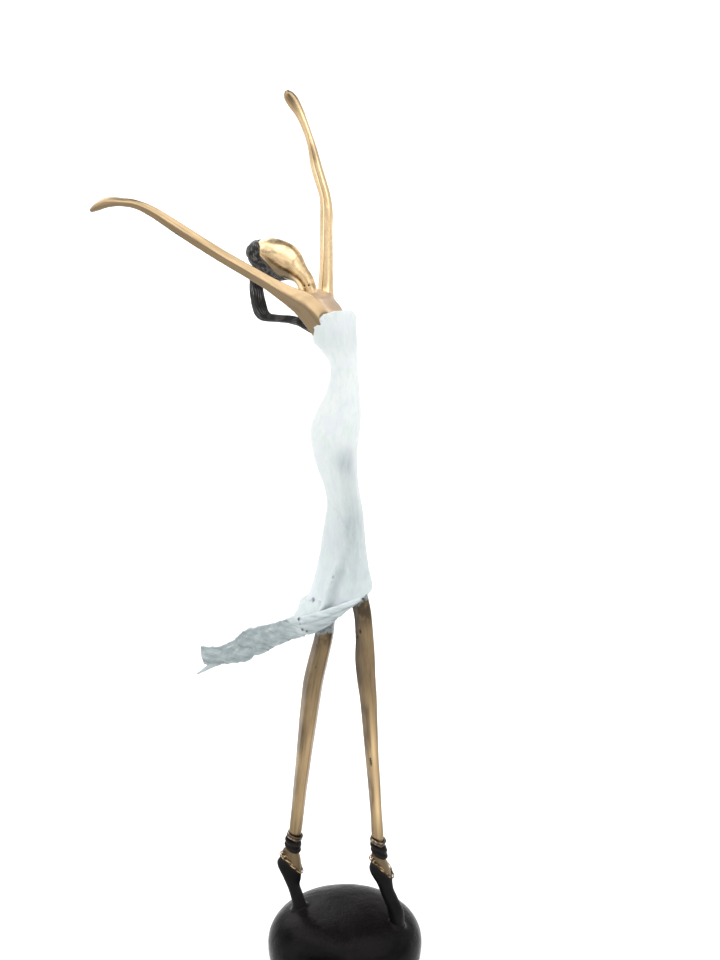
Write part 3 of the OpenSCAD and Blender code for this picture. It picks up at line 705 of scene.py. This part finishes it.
def leg(side, stations, flats, hem, spots, glint, glint_strength):
    """Leg with broad filed flats that fade out at the ankle, dark near the hem, with painted shade and
    painted dark reflections.

    A painted highlight runs along it at the angle glint, as strong as the last argument.
    """
    rows, sides = 360, 96
    around = turns(sides)[None, :]
    flat = facets(flats, 10, 12)

    def shape(share, angle):
        return 1 + (flat(share, angle) - 1) * step(share, 0.12, 0.3)

    grid = level(stations, rows, sides, shape)
    pits = dents(grid, spots)
    z = grid[..., 2]
    uneven = 0.12 * grain(grid, 11, 13, 2, (1, 1, 2)) + 0.03 * grain(grid, 2.5, 14, 2, (1, 1, 4))
    corners = step(shape(np.linspace(0, 1, rows)[:, None], around), 1.01, 1.05)
    # Painted dark reflections along the facet corners
    corner_reflection = 0.45 * corners * step(grain(grid, 6, 36, 3, (1, 1, 4)), -0.2, 0.6)
    near_hem = 0.9 * step(z, hem - 13, hem) * step(grain(grid, 5, 37, 3, (1, 1, 1.5)), -0.8, 0.15)
    # Painted shade down one edge of the leg near the hem
    behind = 0.75 * facing(around, -158, 16) * step(z, 208, 232)
    dirt = np.clip(np.maximum.reduce([pits * 1.6, corner_reflection, near_hem, behind]), 0, 1)
    # Painted shade on one side, at the ankle end and on the upper leg
    dim = 0.5 * facing(around, -135, 35) * step(grain(grid, 14, 41, 2), -0.5, 0.3)
    shade = np.clip(0.55 * (1 - step(z, 84, 104)) + 0.42 * step(z, 140, 205) + dim, 0, 1)
    # Painted highlight in a line down the lower leg
    gleam = glint_strength * facing(around, glint, 26) * (1 - step(z, 150, 205)) * step(z, 95, 118)
    gleam = gleam * (0.6 + 0.4 * step(grain(grid, 7, 42, 2, (1, 1, 4)), -0.7, 0.2))
    make(side + "_leg_cast", push(grid, uneven - pits), side + "_leg", "brushed_bronze", side + "_leg",
         dirt=dirt, shade=shade, worn=gleam)


leg("left", LEFT_LEG, LEFT_FLATS, LEFT_HEM, LEFT_LEG_PITS, -45, 0.25)
leg("right", RIGHT_LEG, RIGHT_FLATS, RIGHT_HEM, RIGHT_LEG_PITS, -62, 1.0)

# ---------------- dress

HEM_RISE = 0.47
DRESS = [[-7.5, 0, 249, 24.4, 20.5, HEM_RISE], [-3.8, 0, 254.5, 20, 19, 0.38], [-2, 0, 262, 17, 17.5, 0.2],
         [-1, 0, 271, 15, 16, 0.05], [-0.3, 0, 285, 12.9, 15, 0], [0.4, 0, 301, 10.8, 14.5, 0],
         [0.2, 0, 311, 9.4, 14.2, 0], [-1.8, 0, 322, 9.8, 14.5, 0], [-4.4, 0, 335, 12, 15, 0],
         [-5, 0, 346, 13.6, 15, 0], [-4.8, 0, 354, 14.2, 14.5, 0], [-2.6, 0, 364, 12.6, 13, 0],
         [-0.3, 0, 375, 9.5, 11, 0], [0.5, 0, 386, 7.9, 10, 0], [-0.2, 0, 394, 8, 11, 0.05],
         [-2.8, 0, 402, 10.2, 12.6, 0.2], [-4.9, 0, 408, 11.9, 13.6, 0.35], [-5.6, 0, 416.5, 12, 13.8, 0.5]]
SKIRT_WALL = 2
SKIRT_R = 22
NECK_LIFT = [[-180, -150, -135, -120, -97, -85, -75, -64, -43, -14, 15, 60, 180],
             [0, 0, 0.8, 3.4, 6.4, 6.6, 6.2, 5.4, 3.2, 0, -2.4, -1.2, 0]]
HEM_DROP = [[-180, -123, -103, -84, -66, -48, -16, 20, 60, 180],
            [0, 0.4, 1.4, 1.7, 2.2, 3.1, 4.6, 4.8, 1.2, 0]]
# Angle of the ridge on the skirt at each height, and height of the crease at each angle
RIDGE = [[240, 252, 262, 270, 278, 300], [-97, -97, -99, -94, -84, -76]]
CREASE = [[-150, -127, -95, -77, -50], [316, 313, 310, 303, 294]]
# How far each ring inside the neck is pulled in, as a share of its radius, and its rise
LIP = ((0.03, 0.3), (0.08, 0.2), (0.13, -0.8), (0.32, -5))
# How far each ring of the recess under the skirt is from the hem, in wall thicknesses, and its rise
RECESS = ((2.8, 8), (1.6, 7), (1.0, 0.3), (0.6, -0.1))
DRESS_PITS = ((-14.5, -15, 253.2, 1.1, 1.5), (-17, -14, 251.6, 0.8, 1.0), (-20.6, -13.6, 246.2, 1.3, 1.4),
              (-23, -13, 244.6, 1.0, 1.2), (-25.6, -12.5, 242.6, 0.8, 0.9),
              (-1.4, -16.9, 269, 0.8, 0.8), (-2.3, -17.2, 266, 0.5, 0.5))
TRAIN_PITS = ((-21.6, -19, 242, 1.0, 1.0), (-20.5, -19.4, 239.5, 0.7, 0.7), (-19.8, -19.5, 235.8, 0.9, 1.0),
              (-17, -20, 235.2, 0.8, 0.9), (-14.2, -20.4, 234.6, 0.7, 0.8), (-24, -18.2, 238.5, 0.5, 0.5))
# The band round the hem: angle, drop below the hem and how far its top is sunk
BAND = [[-22, 0.8, 3.2], [-40, 4, 1.9], [-60, 8, 0.4], [-80, 11, 0], [-100, 12.5, 0], [-120, 12.5, 0],
        [-142, 13.5, 0]]
BAND_FLARE = 2.4
# The free part of the train: x, y and z of the top edge, x and z of the bottom edge
TAIL = [[-42, -7, 232.8, -41, 217.5], [-52, -4, 229, -51, 210.5], [-62, -1, 223.8, -61, 203.8],
        [-70, 1, 216, -70, 200.4], [-78, 2.5, 211, -78, 198], [-85, 3.5, 208.8, -84, 196.3],
        [-92, 4, 208.6, -90, 196.5]]
SPIKE = [[-82, 3, 198.2, 1.6, 1], [-86, 2.5, 196, 1.5, 1], [-90.5, 1.8, 193, 1, 0.8],
         [-94, 1.5, 190.6, 0.4, 0.4]]
TRAIN_T = 2
TRAIN_BULGE = 1.5


def folds(angle, centre):
    """How far the skirt's ridges and hollows stand out from a smooth body."""
    low = 1 - step(centre, 270, 288)
    above = step(centre, 275, 290)
    from_ridge = apart(angle, np.interp(centre, *RIDGE))
    fold = 1.5 * low * hump(from_ridge, 0, 6) - 1.9 * low * hump(from_ridge, 14, 10)
    fold = fold + 0.8 * low * hump(from_ridge, 44, 14) + 0.5 * low * hump(from_ridge, -34, 12)
    fold = fold + 0.5 * facing(angle, -85, 8) * above * (1 - step(centre, 345, 365))
    fold = fold - 0.6 * facing(angle, -62, 10) * above * (1 - step(centre, 335, 350))
    crease = -0.7 * hump(centre, np.interp(angle, *CREASE), 2.2)
    crease = crease * step(angle, -150, -120) * (1 - step(angle, -75, -45))
    back_folds = 0.7 * low * np.sin(np.radians(7 * angle)) * step(np.abs(apart(angle, 105)), 110, 60)
    return fold + crease + back_folds


def trim_edges(grid, angle, centre):
    """Gives the smooth body its ragged, leaning neck edge, its uneven hem and its curls."""
    top = DRESS[-1][2]
    near_top = step(centre, top - 9, top)
    ragged = 0.9 * grain(grid, 4, 19, 4) * step(centre, top - 4, top)
    grid[..., 2] += np.interp(angle, *NECK_LIFT) * near_top + ragged
    lean = facing(angle, -62, 50) + 0.6 * facing(angle, -125, 25) + 0.35
    lip_roll = 0.45 * hump(centre, top - 0.8, 1.3) * (1 + 0.8 * grain(grid, 2.5, 39, 2))
    grid = push(grid, lean * near_top + lip_roll)
    grid[..., 2] -= np.interp(angle, *HEM_DROP) * (1 - step(centre, 249, 264))
    front = facing(angle, -5, 38)
    curl = -0.9 * front * (1 - step(centre, 248.5, 252)) + 0.4 * front * hump(centre, 255.5, 4)
    curl = curl - 1.5 * facing(angle, 180, 40) * (1 - step(centre, 249, 257))
    curl = curl - 1.3 * facing(angle, 12, 30) * step(centre, top - 2.5, top)
    return push(grid, curl - dents(grid, DRESS_PITS))


def turned_in(grid):
    """Adds the inside of the neck and the shallow recess under the skirt."""
    rim, hem = grid[-1], grid[0]
    middle, heart = rim.mean(axis=0), hem.mean(axis=0)
    wall = SKIRT_WALL / SKIRT_R
    lip = [rim + (middle - rim) * pull + [0, 0, rise] for pull, rise in LIP]
    inner = [heart + (hem - heart) * (1 - wall * k) + [0, 0, rise] for k, rise in RECESS]
    return np.concatenate([np.array(inner), grid, np.array(lip)])


def dress_wear(grid, angle):
    """Where the dress is bluer, where painted shade greys it, and where pits and a painted shadow darken
    it.
    """
    z = grid[..., 2]
    around = angle + 0 * z
    tint = 0.10 + 0.55 * (1 - step(z, 262, 350)) + 0.25 * hump(z, 408, 12) - 0.1 * hump(z, 380, 14)
    tint = tint + 0.15 * hump(z, 345, 12)
    # Painted shade on the hips, the lower skirt and beside the ridge, with a painted highlight on the ridge
    shade = 0.42 * hump(z, 337, 8) * facing(around, -48, 26)
    shade = shade + 0.24 * hump(z, 292, 24) * facing(around, -52, 30)
    shade = shade + 0.04 + 0.12 * hump(z, 408, 8) + 0.20 * hump(z, 290, 50)
    front = facing(around, -35, 32) * (1 - step(z, 330, 350))
    shade = shade + (0.04 + 0.22 * step(z, 272, 300)) * front
    from_ridge = apart(around, np.interp(z, *RIDGE))
    shade = shade + 0.30 * (1 - step(z, 258, 280)) * hump(from_ridge, 11, 7)
    shade = shade - 0.25 * (1 - step(z, 262, 290)) * (1 - step(from_ridge, -8, 4))
    rim_z = DRESS[-1][2] + 0.5 * (grid[..., 0] - DRESS[-1][0]) + np.interp(around, *NECK_LIFT)
    # Painted shadow just under the lip of the neck
    under_lip = 0.8 * facing(around, -115, 32) * hump(z, rim_z - 1.4, 1.2)
    under_lip = under_lip * step(grain(grid, 1.6, 43, 2), 0.1, 0.5)
    dirt = 0.95 * np.clip(np.maximum(1.5 * dents(grid, DRESS_PITS), under_lip), 0, 1)
    return {"tint": tint, "shade": shade, "dirt": dirt}


def dress():
    """Bodice and skirt."""
    rows, sides = 440, 256
    grid = level(DRESS, rows, sides)
    angle = turns(sides)[None, :]
    centre = smooth_path(DRESS, rows)[:, 2:3]
    lumps = 0.30 * grain(grid, 15, 15, 2) + 0.14 * grain(grid, 5, 16, 2) + 0.06 * grain(grid, 1.6, 17, 2)
    brushed = 0.05 * grain(grid, 0.9, 18, 2, (1, 1, 5))
    grid = push(grid, folds(angle, centre) + lumps + brushed)
    grid = turned_in(trim_edges(grid, angle, centre))
    make("dress", grid, "paint", "dress_paint", "dress_body", **dress_wear(grid, angle))


def train_path(rows):
    """Top and bottom edges of the train: x, y and z of each."""
    stations = []
    x, y, z, wide_x, wide_y = DRESS[0][:5]
    wide = np.array([wide_x, wide_y]) - SKIRT_WALL / 2
    for angle, drop, sink in BAND:
        out = np.array([math.cos(math.radians(angle)), math.sin(math.radians(angle))])
        place = np.array([x, y]) + wide * out
        height = z + HEM_RISE * wide[0] * out[0] - sink
        flare = BAND_FLARE * step(drop, 0, 8)
        top = place + out * flare
        bottom = place - out * 0.6 * flare
        stations.append([*top, height + 0.6, *bottom, height + sink - drop])
    stations += [[x, y, z, low_x, y, low_z] for x, y, z, low_x, low_z in TAIL]
    return smooth_path(stations, rows)


def wander(places, seed):
    """Repeatable uneven numbers for places along a line."""
    return np.array([noise.fractal(Vector((s, *seed)), 1.0, 2.0, 3) for s in places])


def train_sheet(path, share, tail, w):
    """Both faces of the train as one set of rings. w is 0 at its top edge and 1 at its bottom edge."""
    top, bottom = path[:, :3].copy(), path[:, 3:6].copy()
    top[:, 2] += 0.7 * wander(share * 30, (0.5, 2)) * tail
    bottom[:, 2] += 0.9 * wander(share * 26, (7.5, 4)) * step(share, 0.2, 0.4)
    bottom[:, 2] += 1.3 * tail * hump(top[:, 0], -56, 1.6)
    face = unit(np.cross(unit(np.gradient(path[:, :3], axis=0)), unit(bottom - top)))[:, None]
    free = tail[:, None]
    ripple = 0.5 * np.sin(share * 60 + 1)[:, None] * np.sin(np.pi * w) * free
    fold = 0.7 * free * hump(w, 0.62, 0.16) - free * hump(w, 0.18, 0.12)
    bulge = TRAIN_BULGE * np.sin(np.pi * w) + 0.56 * fold + ripple
    sheet = top[:, None] * (1 - w[..., None]) + bottom[:, None] * w[..., None] + face * bulge[..., None]
    half = TRAIN_T / 2 * np.clip(1.15 * np.sqrt(np.clip(1 - (2 * w - 1) ** 4, 0, 1)), 0.25, 1)
    half = half[..., None] * (1 - 0.45 * tail[:, None, None])
    back = sheet - face * half
    return np.concatenate([back[:, ::-1], sheet + face * half], axis=1)


def train():
    """Strip of skirt along the hem that streams out behind, with a forked, ragged end."""
    rows, across = 420, 40
    share = np.linspace(0, 1, rows)
    tail = step(share, 0.38, 0.5)
    w = np.linspace(0, 1, across)
    grid = train_sheet(train_path(rows), share, tail, w[None, :])
    low_side = np.concatenate([w[::-1], w])[None, :]
    free = tail[:, None]
    creases = grain(grid, 1.8, 20, 3, (7, 3, 1))
    in_groove = hump(low_side, 0.30, 0.07)
    pits = dents(grid, TRAIN_PITS)
    hollow = 0.5 * in_groove * (1 - free) + pits
    grid = push(grid, 0.35 * creases + 0.25 * grain(grid, 9, 21, 2) - hollow)
    spike = rounded(limb(SPIKE, 60, 24), 0.4, 0.3, 4)
    spike = push(spike, 0.12 * grain(spike, 1.6, 22, 2))

    # Painted shade darkens the band towards its bottom, in its groove and over the tail, and a painted
    # highlight lightens its edges; pits and crease streaks are darker
    rim = step(np.abs(low_side - 0.5) * 2, 0.88, 1)
    shade = (0.22 + 0.60 * low_side + 0.45 * in_groove) * (1 - free) + free
    shade = shade + 0.30 * np.clip(creases, -1, 1) + 0.15 * hump(low_side, 0.05, 0.1) * free
    shade = np.clip(shade - 0.7 * rim * (1 - low_side) - 0.35 * rim, 0, 1)
    dirt = np.maximum(0.9 * np.clip(1.5 * pits, 0, 1), 0.35 * step(creases, 0.35, 0.7) * (0.3 + 0.7 * free))
    tint = 0.75 + 0.25 * free + 0 * shade
    # After the rings come the sheet's two end points, then the spike
    spike_points = spike.shape[0] * spike.shape[1]
    tint = np.concatenate([tint.ravel(), np.zeros(2), np.ones(spike_points)])
    shade = np.concatenate([shade.ravel(), np.zeros(2), np.full(spike_points, 0.6)])
    make("train", [grid, spike], "paint", "dress_paint", "dress_train", tint=tint, shade=shade, dirt=dirt)


dress()
train()

# ---------------- chest and arms

TORSO = [[-8, 0, 414, 9, 12.4, 0.5], [-10.5, 0.5, 420.5, 8.3, 12.4, 0.3],
         [-13.6, 1.5, 425.5, 7.4, 12.6, 0.15], [-16.6, 1.8, 429.3, 8.4, 12, 0],
         [-19.4, 1, 432, 6, 7.5, -0.2], [-20.6, 0, 433.4, 2.5, 3, -0.3]]
RIGHT_ARM = [[-4.5, -5, 404, 6, 3.6], [-9.8, -8.6, 414.5, 7.2, 4], [-17.2, -13.2, 425.8, 7, 5],
             [-23.5, -17.8, 431.4, 5.6, 4.8], [-29.5, -21.5, 435.7, 4.4, 4.2],
             [-40, -25, 442.7, 3.5, 3.5], [-61, -30, 455.3, 3.3, 3.2], [-80, -35, 467.9, 3.2, 3.1],
             [-94.5, -39.5, 478.1, 2.8, 2.9], [-104, -42, 482.8, 2.3, 2.8], [-112, -44, 484, 2.5, 3.8],
             [-119, -45.5, 483.6, 3.2, 4.6], [-124.5, -46.5, 481.6, 2.6, 4],
             [-128.5, -47, 479.4, 1.3, 2]]
LEFT_ARM = [[-12.6, 9.5, 421.5, 4.8, 4.8], [-13.6, 12.5, 427, 4.2, 4.2], [-14.3, 15, 431.4, 3.8, 3.8],
            [-14.8, 18, 438.7, 3.5, 3.6], [-15.7, 22, 449.4, 3.3, 3.4], [-16.8, 26, 460.7, 3.2, 3.3],
            [-17.7, 30, 471.5, 3.2, 3.2], [-19.6, 33.5, 480.3, 2.8, 2.9], [-22.6, 36.5, 487.4, 2.8, 2.9],
            [-26.4, 40, 496, 2.8, 2.8], [-30, 44, 506, 2.2, 2.4], [-33, 46.5, 513, 1.9, 2.2],
            [-36.6, 49, 520, 2.1, 2.5], [-40, 51, 525.5, 2.8, 3.2], [-44, 52.5, 531, 3.6, 4],
            [-47, 53.5, 534.8, 3.1, 3.6], [-48.3, 54, 537, 1.4, 1.8]]
RIGHT_ARM_FLATS = (-38, -122, 168, 96, 28)
LEFT_ARM_FLATS = (-140, -85, -20, 55, 120)
ARM_PITS = ((-83, -37.5, 467, 0.8, 0.3),)


def torso():
    """Bare chest and shoulders, sunk into the neck of the dress."""
    grid = level(TORSO, 110, 160)
    lumps = 0.22 * grain(grid, 8, 23, 2) + 0.05 * grain(grid, 2, 24, 2)
    make("chest", push(grid, lumps), "chest", "polished_bronze", "torso")


def arm(name, stations, flats, look, node, palm, dark_at, dark, shine, spots=()):
    """Arm with filed flats and a flat hand whose palm, at the angle palm, is cupped.

    flats is the angle of each flat, how sharp their corners are and how far they twist. dark is how much
    painted shade darkens the hand and wrist at the angle dark_at, and shine is how strong the painted
    highlight on the arm's root is.
    """
    rows, sides = 380, 96
    flat = facets(*flats)

    def shape(share, angle):
        fade = 1 - step(share, 0.80, 0.90)
        cup = 0.30 * facing(angle, palm, 42) * hump(share, 0.93, 0.055)
        return 1 + (flat(share, angle) - 1) * (0.25 + 0.75 * fade) - cup

    grid = limb(stations, rows, sides, shape)
    pits = dents(grid, spots)
    uneven = 0.10 * grain(grid, 9, 25, 2) + 0.04 * grain(grid, 2, 26, 2)
    grid = push(grid, uneven - pits)
    share = np.linspace(0, 1, rows)[:, None]
    around = turns(sides)[None, :]
    # Painted shade over the hand and wrist
    hand_shade = dark * facing(around, dark_at, 65)
    hand_shade = hand_shade * (hump(share, 0.96, 0.07) + 0.7 * hump(share, 0.69, 0.05))
    dirt = np.clip(pits * 1.4 + hand_shade, 0, 1)
    # Painted highlight on the upper facets of the arm's root
    root = shine * (1 - step(share, 0.16, 0.30)) * (1 - step(np.abs(apart(around, -12)), 48, 62))
    # Painted shade on the downward facets
    shade = 0.8 * step(-outward(grid)[..., 2], -0.25, 0.3) * (1 - root)
    make(name, rounded(grid, 0, 0.6, 6), look, "polished_bronze", node, dirt=dirt, shade=shade, worn=root)


torso()
arm("arm_back", RIGHT_ARM, (RIGHT_ARM_FLATS, 20, 8), "filed", "right_arm", 180, 180, 0.40, 0.33, ARM_PITS)
arm("arm_up", LEFT_ARM, (LEFT_ARM_FLATS, 9, 20), "bright", "left_arm", -120, -75, 0.8, 0)

# ---------------- head and hair

HEAD = [[-20.5, 0, 427, 5.4, 5.4], [-20.8, 0, 433, 5.3, 5.1], [-22, 0, 437, 5.2, 5.3],
        [-24.2, 0, 440.3, 5.4, 6], [-27, 0, 443, 6.8, 7.3], [-31, 0, 446, 9.5, 8.9],
        [-36.2, 0, 448.8, 10.7, 9.8], [-42.2, 0, 450.8, 9.9, 9.6], [-48, 0, 451.9, 8.1, 8.2],
        [-51.8, 0, 452.5, 5.7, 6], [-53.7, 0, 452.7, 3, 3.2]]
HAIR_T = 1.2
NECK_PITS = ((-21, -5, 435.5, 0.6, 0.8), (-18.4, -4.6, 436, 0.6, 0.9), (-18.2, -4.4, 437.2, 0.5, 0.8),
             (-24, -4.5, 433.5, 0.4, 0.4))
# Points of the hairline, x and z, from the crown to the nape
HAIRLINE = [(-48.5, 475), (-48.5, 459.5), (-46, 457), (-45.7, 452.5), (-42, 449), (-38, 444), (-34, 440),
            (-31, 437.7), (-29.5, 431), (-29, 424)]
PONYTAIL = [[-50, 2, 443.6, 3.4, 3], [-51.6, 3, 438, 3.8, 3.2], [-51.7, 3, 430, 3.9, 3.3],
            [-50.2, 3, 421.5, 4.2, 3.4], [-48.2, 2.5, 417.3, 4.1, 3.3], [-44.4, 1.5, 415.5, 2.5, 3.2],
            [-38, 0.5, 415.3, 2.1, 3.1], [-31, -1, 415.4, 2.3, 3], [-25, -3, 414.8, 2.4, 3],
            [-19.5, -4.6, 412.6, 2.3, 2.8], [-14.5, -5.4, 410, 2, 2.6]]
PONYTAIL_FLATS = (-130, -55, 10, 80, 150)


def behind_hairline(grid):
    """Distance of each point from the hairline, seen from the side. It is positive in the hair."""
    x, z = grid[..., 0], grid[..., 2]
    best = np.full(x.shape, 1e9)
    sign = np.ones(x.shape)
    for (ax, az), (bx, bz) in zip(HAIRLINE, HAIRLINE[1:]):
        dx, dz = bx - ax, bz - az
        t = np.clip(((x - ax) * dx + (z - az) * dz) / (dx * dx + dz * dz), 0, 1)
        away = np.hypot(x - ax - t * dx, z - az - t * dz)
        cross = (z - az) * dx - (x - ax) * dz
        closer = away < best
        best = np.where(closer, away, best)
        sign = np.where(closer, np.where(cross < 0, 1, -1), sign)
    return best * sign


def head():
    """Smooth head with no features, and a pitted neck."""
    dome = 8
    more = ((0, dome), (0, 0))
    grid = limb(HEAD, 240, 144)
    inside = np.pad(behind_hairline(grid), more, mode="edge")
    waves = 0.42 * grain(grid, 8, 27, 1) + 0.05 * grain(grid, 3, 28, 2)
    pits = dents(grid, NECK_PITS)
    grid = rounded(push(grid, waves - pits), 0, 0.8, dome)
    downward = -outward(grid)[..., 2]
    hollow = np.clip(1.6 * np.pad(pits, more), 0, 1)
    # Painted shadow along the hairline, and painted shade under the head and just ahead of the hairline;
    # the pits and stains are real
    hairline_shadow = 0.6 * hump(inside, 0.3, 0.7)
    under = 0.85 * step(downward, -0.35, 0.3) * step(-grid[..., 0], 24, 30)
    jaw_shade = 0.75 * step(inside, -7, -0.5) * step(downward, -0.35, 0.2)
    stains = 0.4 * step(grain(grid, 7, 38, 2, (1, 1, 0.6)), 0.1, 0.5)
    dirt = np.maximum.reduce([hollow, hairline_shadow, under, jaw_shade, stains])
    make("head_cast", grid, "bright", "polished_bronze", "head", dirt=dirt)


def hair():
    """Cap of carved strands. Ahead of the hairline it dips under the head's surface."""
    rows, dome = 300, 10
    grid = limb(HEAD, rows, 220)
    inside = behind_hairline(grid)
    swirl = inside + 0.5 * grain(grid, 5, 29, 2)
    strands = np.abs(np.sin(swirl * 4)) ** 0.7
    fine = np.sin(swirl * 9 + 2 * grain(grid, 3, 30, 1))
    depth = HAIR_T * (0.80 + 0.22 * strands + 0.05 * fine) + 0.12 * grain(grid, 3, 31, 2)
    depth = depth * (0.35 + 0.65 * step(inside, 0, 3.5))
    cover = step(inside, -0.5, 0.35)
    lift = cover * depth - (1 - cover) * 0.9
    grid = rounded(push(grid, lift), 0, 1.5, dome)
    rub = 0.95 * step(strands, 0.7, 1.0) * cover * step(grain(grid[:rows], 2, 32, 3), -0.3, 0.3)
    make("hair", grid, "hair", "hair_patina", "hair_cap", worn=np.pad(rub, ((0, dome), (0, 0))))


def ponytail():
    """Looped tail of hair with strands cut along it."""
    rows, sides, dome = 420, 120, 5
    grid = limb(PONYTAIL, rows, sides, facets(PONYTAIL_FLATS, 8, 20))
    angle = turns(sides)[None, :]
    share = np.linspace(0, 1, rows)[:, None]
    phase = np.radians(angle) * 9 + 5 * share + 1.1 * grain(grid, 7, 33, 2)
    strands = np.abs(np.sin(phase)) ** 0.6
    grid = push(grid, 0.34 * (strands - 0.75) + 0.10 * grain(grid, 4, 34, 2))
    rub = 0.8 * step(strands, 0.8, 1.0) * step(grain(grid, 5, 35, 2), -0.35, 0.4)
    make("hair_tail", rounded(grid, 0.5, 0.5, dome), "hair", "hair_patina", "ponytail",
         worn=np.pad(rub, ((dome, dome), (0, 0))))


head()
hair()
ponytail()

# ---------------- hidden metal parts and felt

for node_name in ("foot_studs", "stud_washers", "stud_nuts", "shoulder_pegs", "neck_peg", "waist_peg",
                  "hip_pegs", "ankle_pegs", "felt_pad"):
    cad_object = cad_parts[node_name]
    cad_object.data.materials.clear()
    cad_object.data.materials.append(LOOKS["felt" if node_name == "felt_pad" else "steel"])

# ---------------- floor and light

FLOOR_R_M = 60
# Each soft light: direction, inner and outer half angle in degrees, strength
SOFT_LIGHTS = (((0.40, -0.15, 0.90), 22, 40, 2.7),
               ((0.20, -0.82, 0.55), 18, 34, 0.75),
               ((-0.50, -0.15, 0.85), 20, 34, 2.2),
               ((-0.55, 0.65, 0.60), 12, 24, 2.4),
               ((-0.91, -0.33, 0.28), 16, 30, 1.4),
               ((0.95, -0.16, 0.20), 8, 20, 1.2),
               ((0.75, 0.35, 0.56), 12, 26, 0.7))


def floor():
    """Large pale disc, faintly mottled."""
    turn = np.radians(turns(128))
    ring = [(FLOOR_R_M * math.cos(t), FLOOR_R_M * math.sin(t), 0) for t in turn]
    mesh = bpy.data.meshes.new("floor")
    mesh.from_pydata(ring, [], [list(range(len(ring)))])
    made, tree, shader = new_material("floor", Roughness=0.9, Specular_IOR_Level=0.1)
    mottle = speckle(tree, place_in(tree), 900, detail=2)
    link(tree, shader, Base_Color=blend_colour(tree, mottle, (0.90, 0.90, 0.90), (0.93, 0.93, 0.93)))
    mesh.materials.append(made)
    piece = bpy.data.objects.new("floor", mesh)
    bpy.context.scene.collection.objects.link(piece)


def studio():
    """White at eye level and below, dimmer higher up, with soft lights overhead and to the sides."""
    world = bpy.data.worlds.new("studio")
    bpy.context.scene.world = world
    world.use_nodes = True
    tree = world.node_tree
    towards = add_node(tree, "TexCoord").outputs["Generated"]
    height = add_node(tree, "SeparateXYZ", {0: towards}).outputs[2]
    light = ramp(tree, height, 0.34, 0.58, 1.0, 0.30)
    for (x, y, z), narrow, wide, strength in SOFT_LIGHTS:
        centre = unit(np.array([x, y, z]))
        lit = add_node(tree, "VectorMath", {0: towards, 1: centre}, operation="DOT_PRODUCT")
        edge = (math.cos(math.radians(wide)), math.cos(math.radians(narrow)))
        patch = ramp(tree, lit.outputs["Value"], *edge, 0.0, strength)
        light = maths(tree, "ADD", light, patch)
    background = tree.nodes["Background"]
    background.inputs["Color"].default_value = (1, 1, 1, 1)
    tree.links.new(light, background.inputs["Strength"])


floor()
studio()
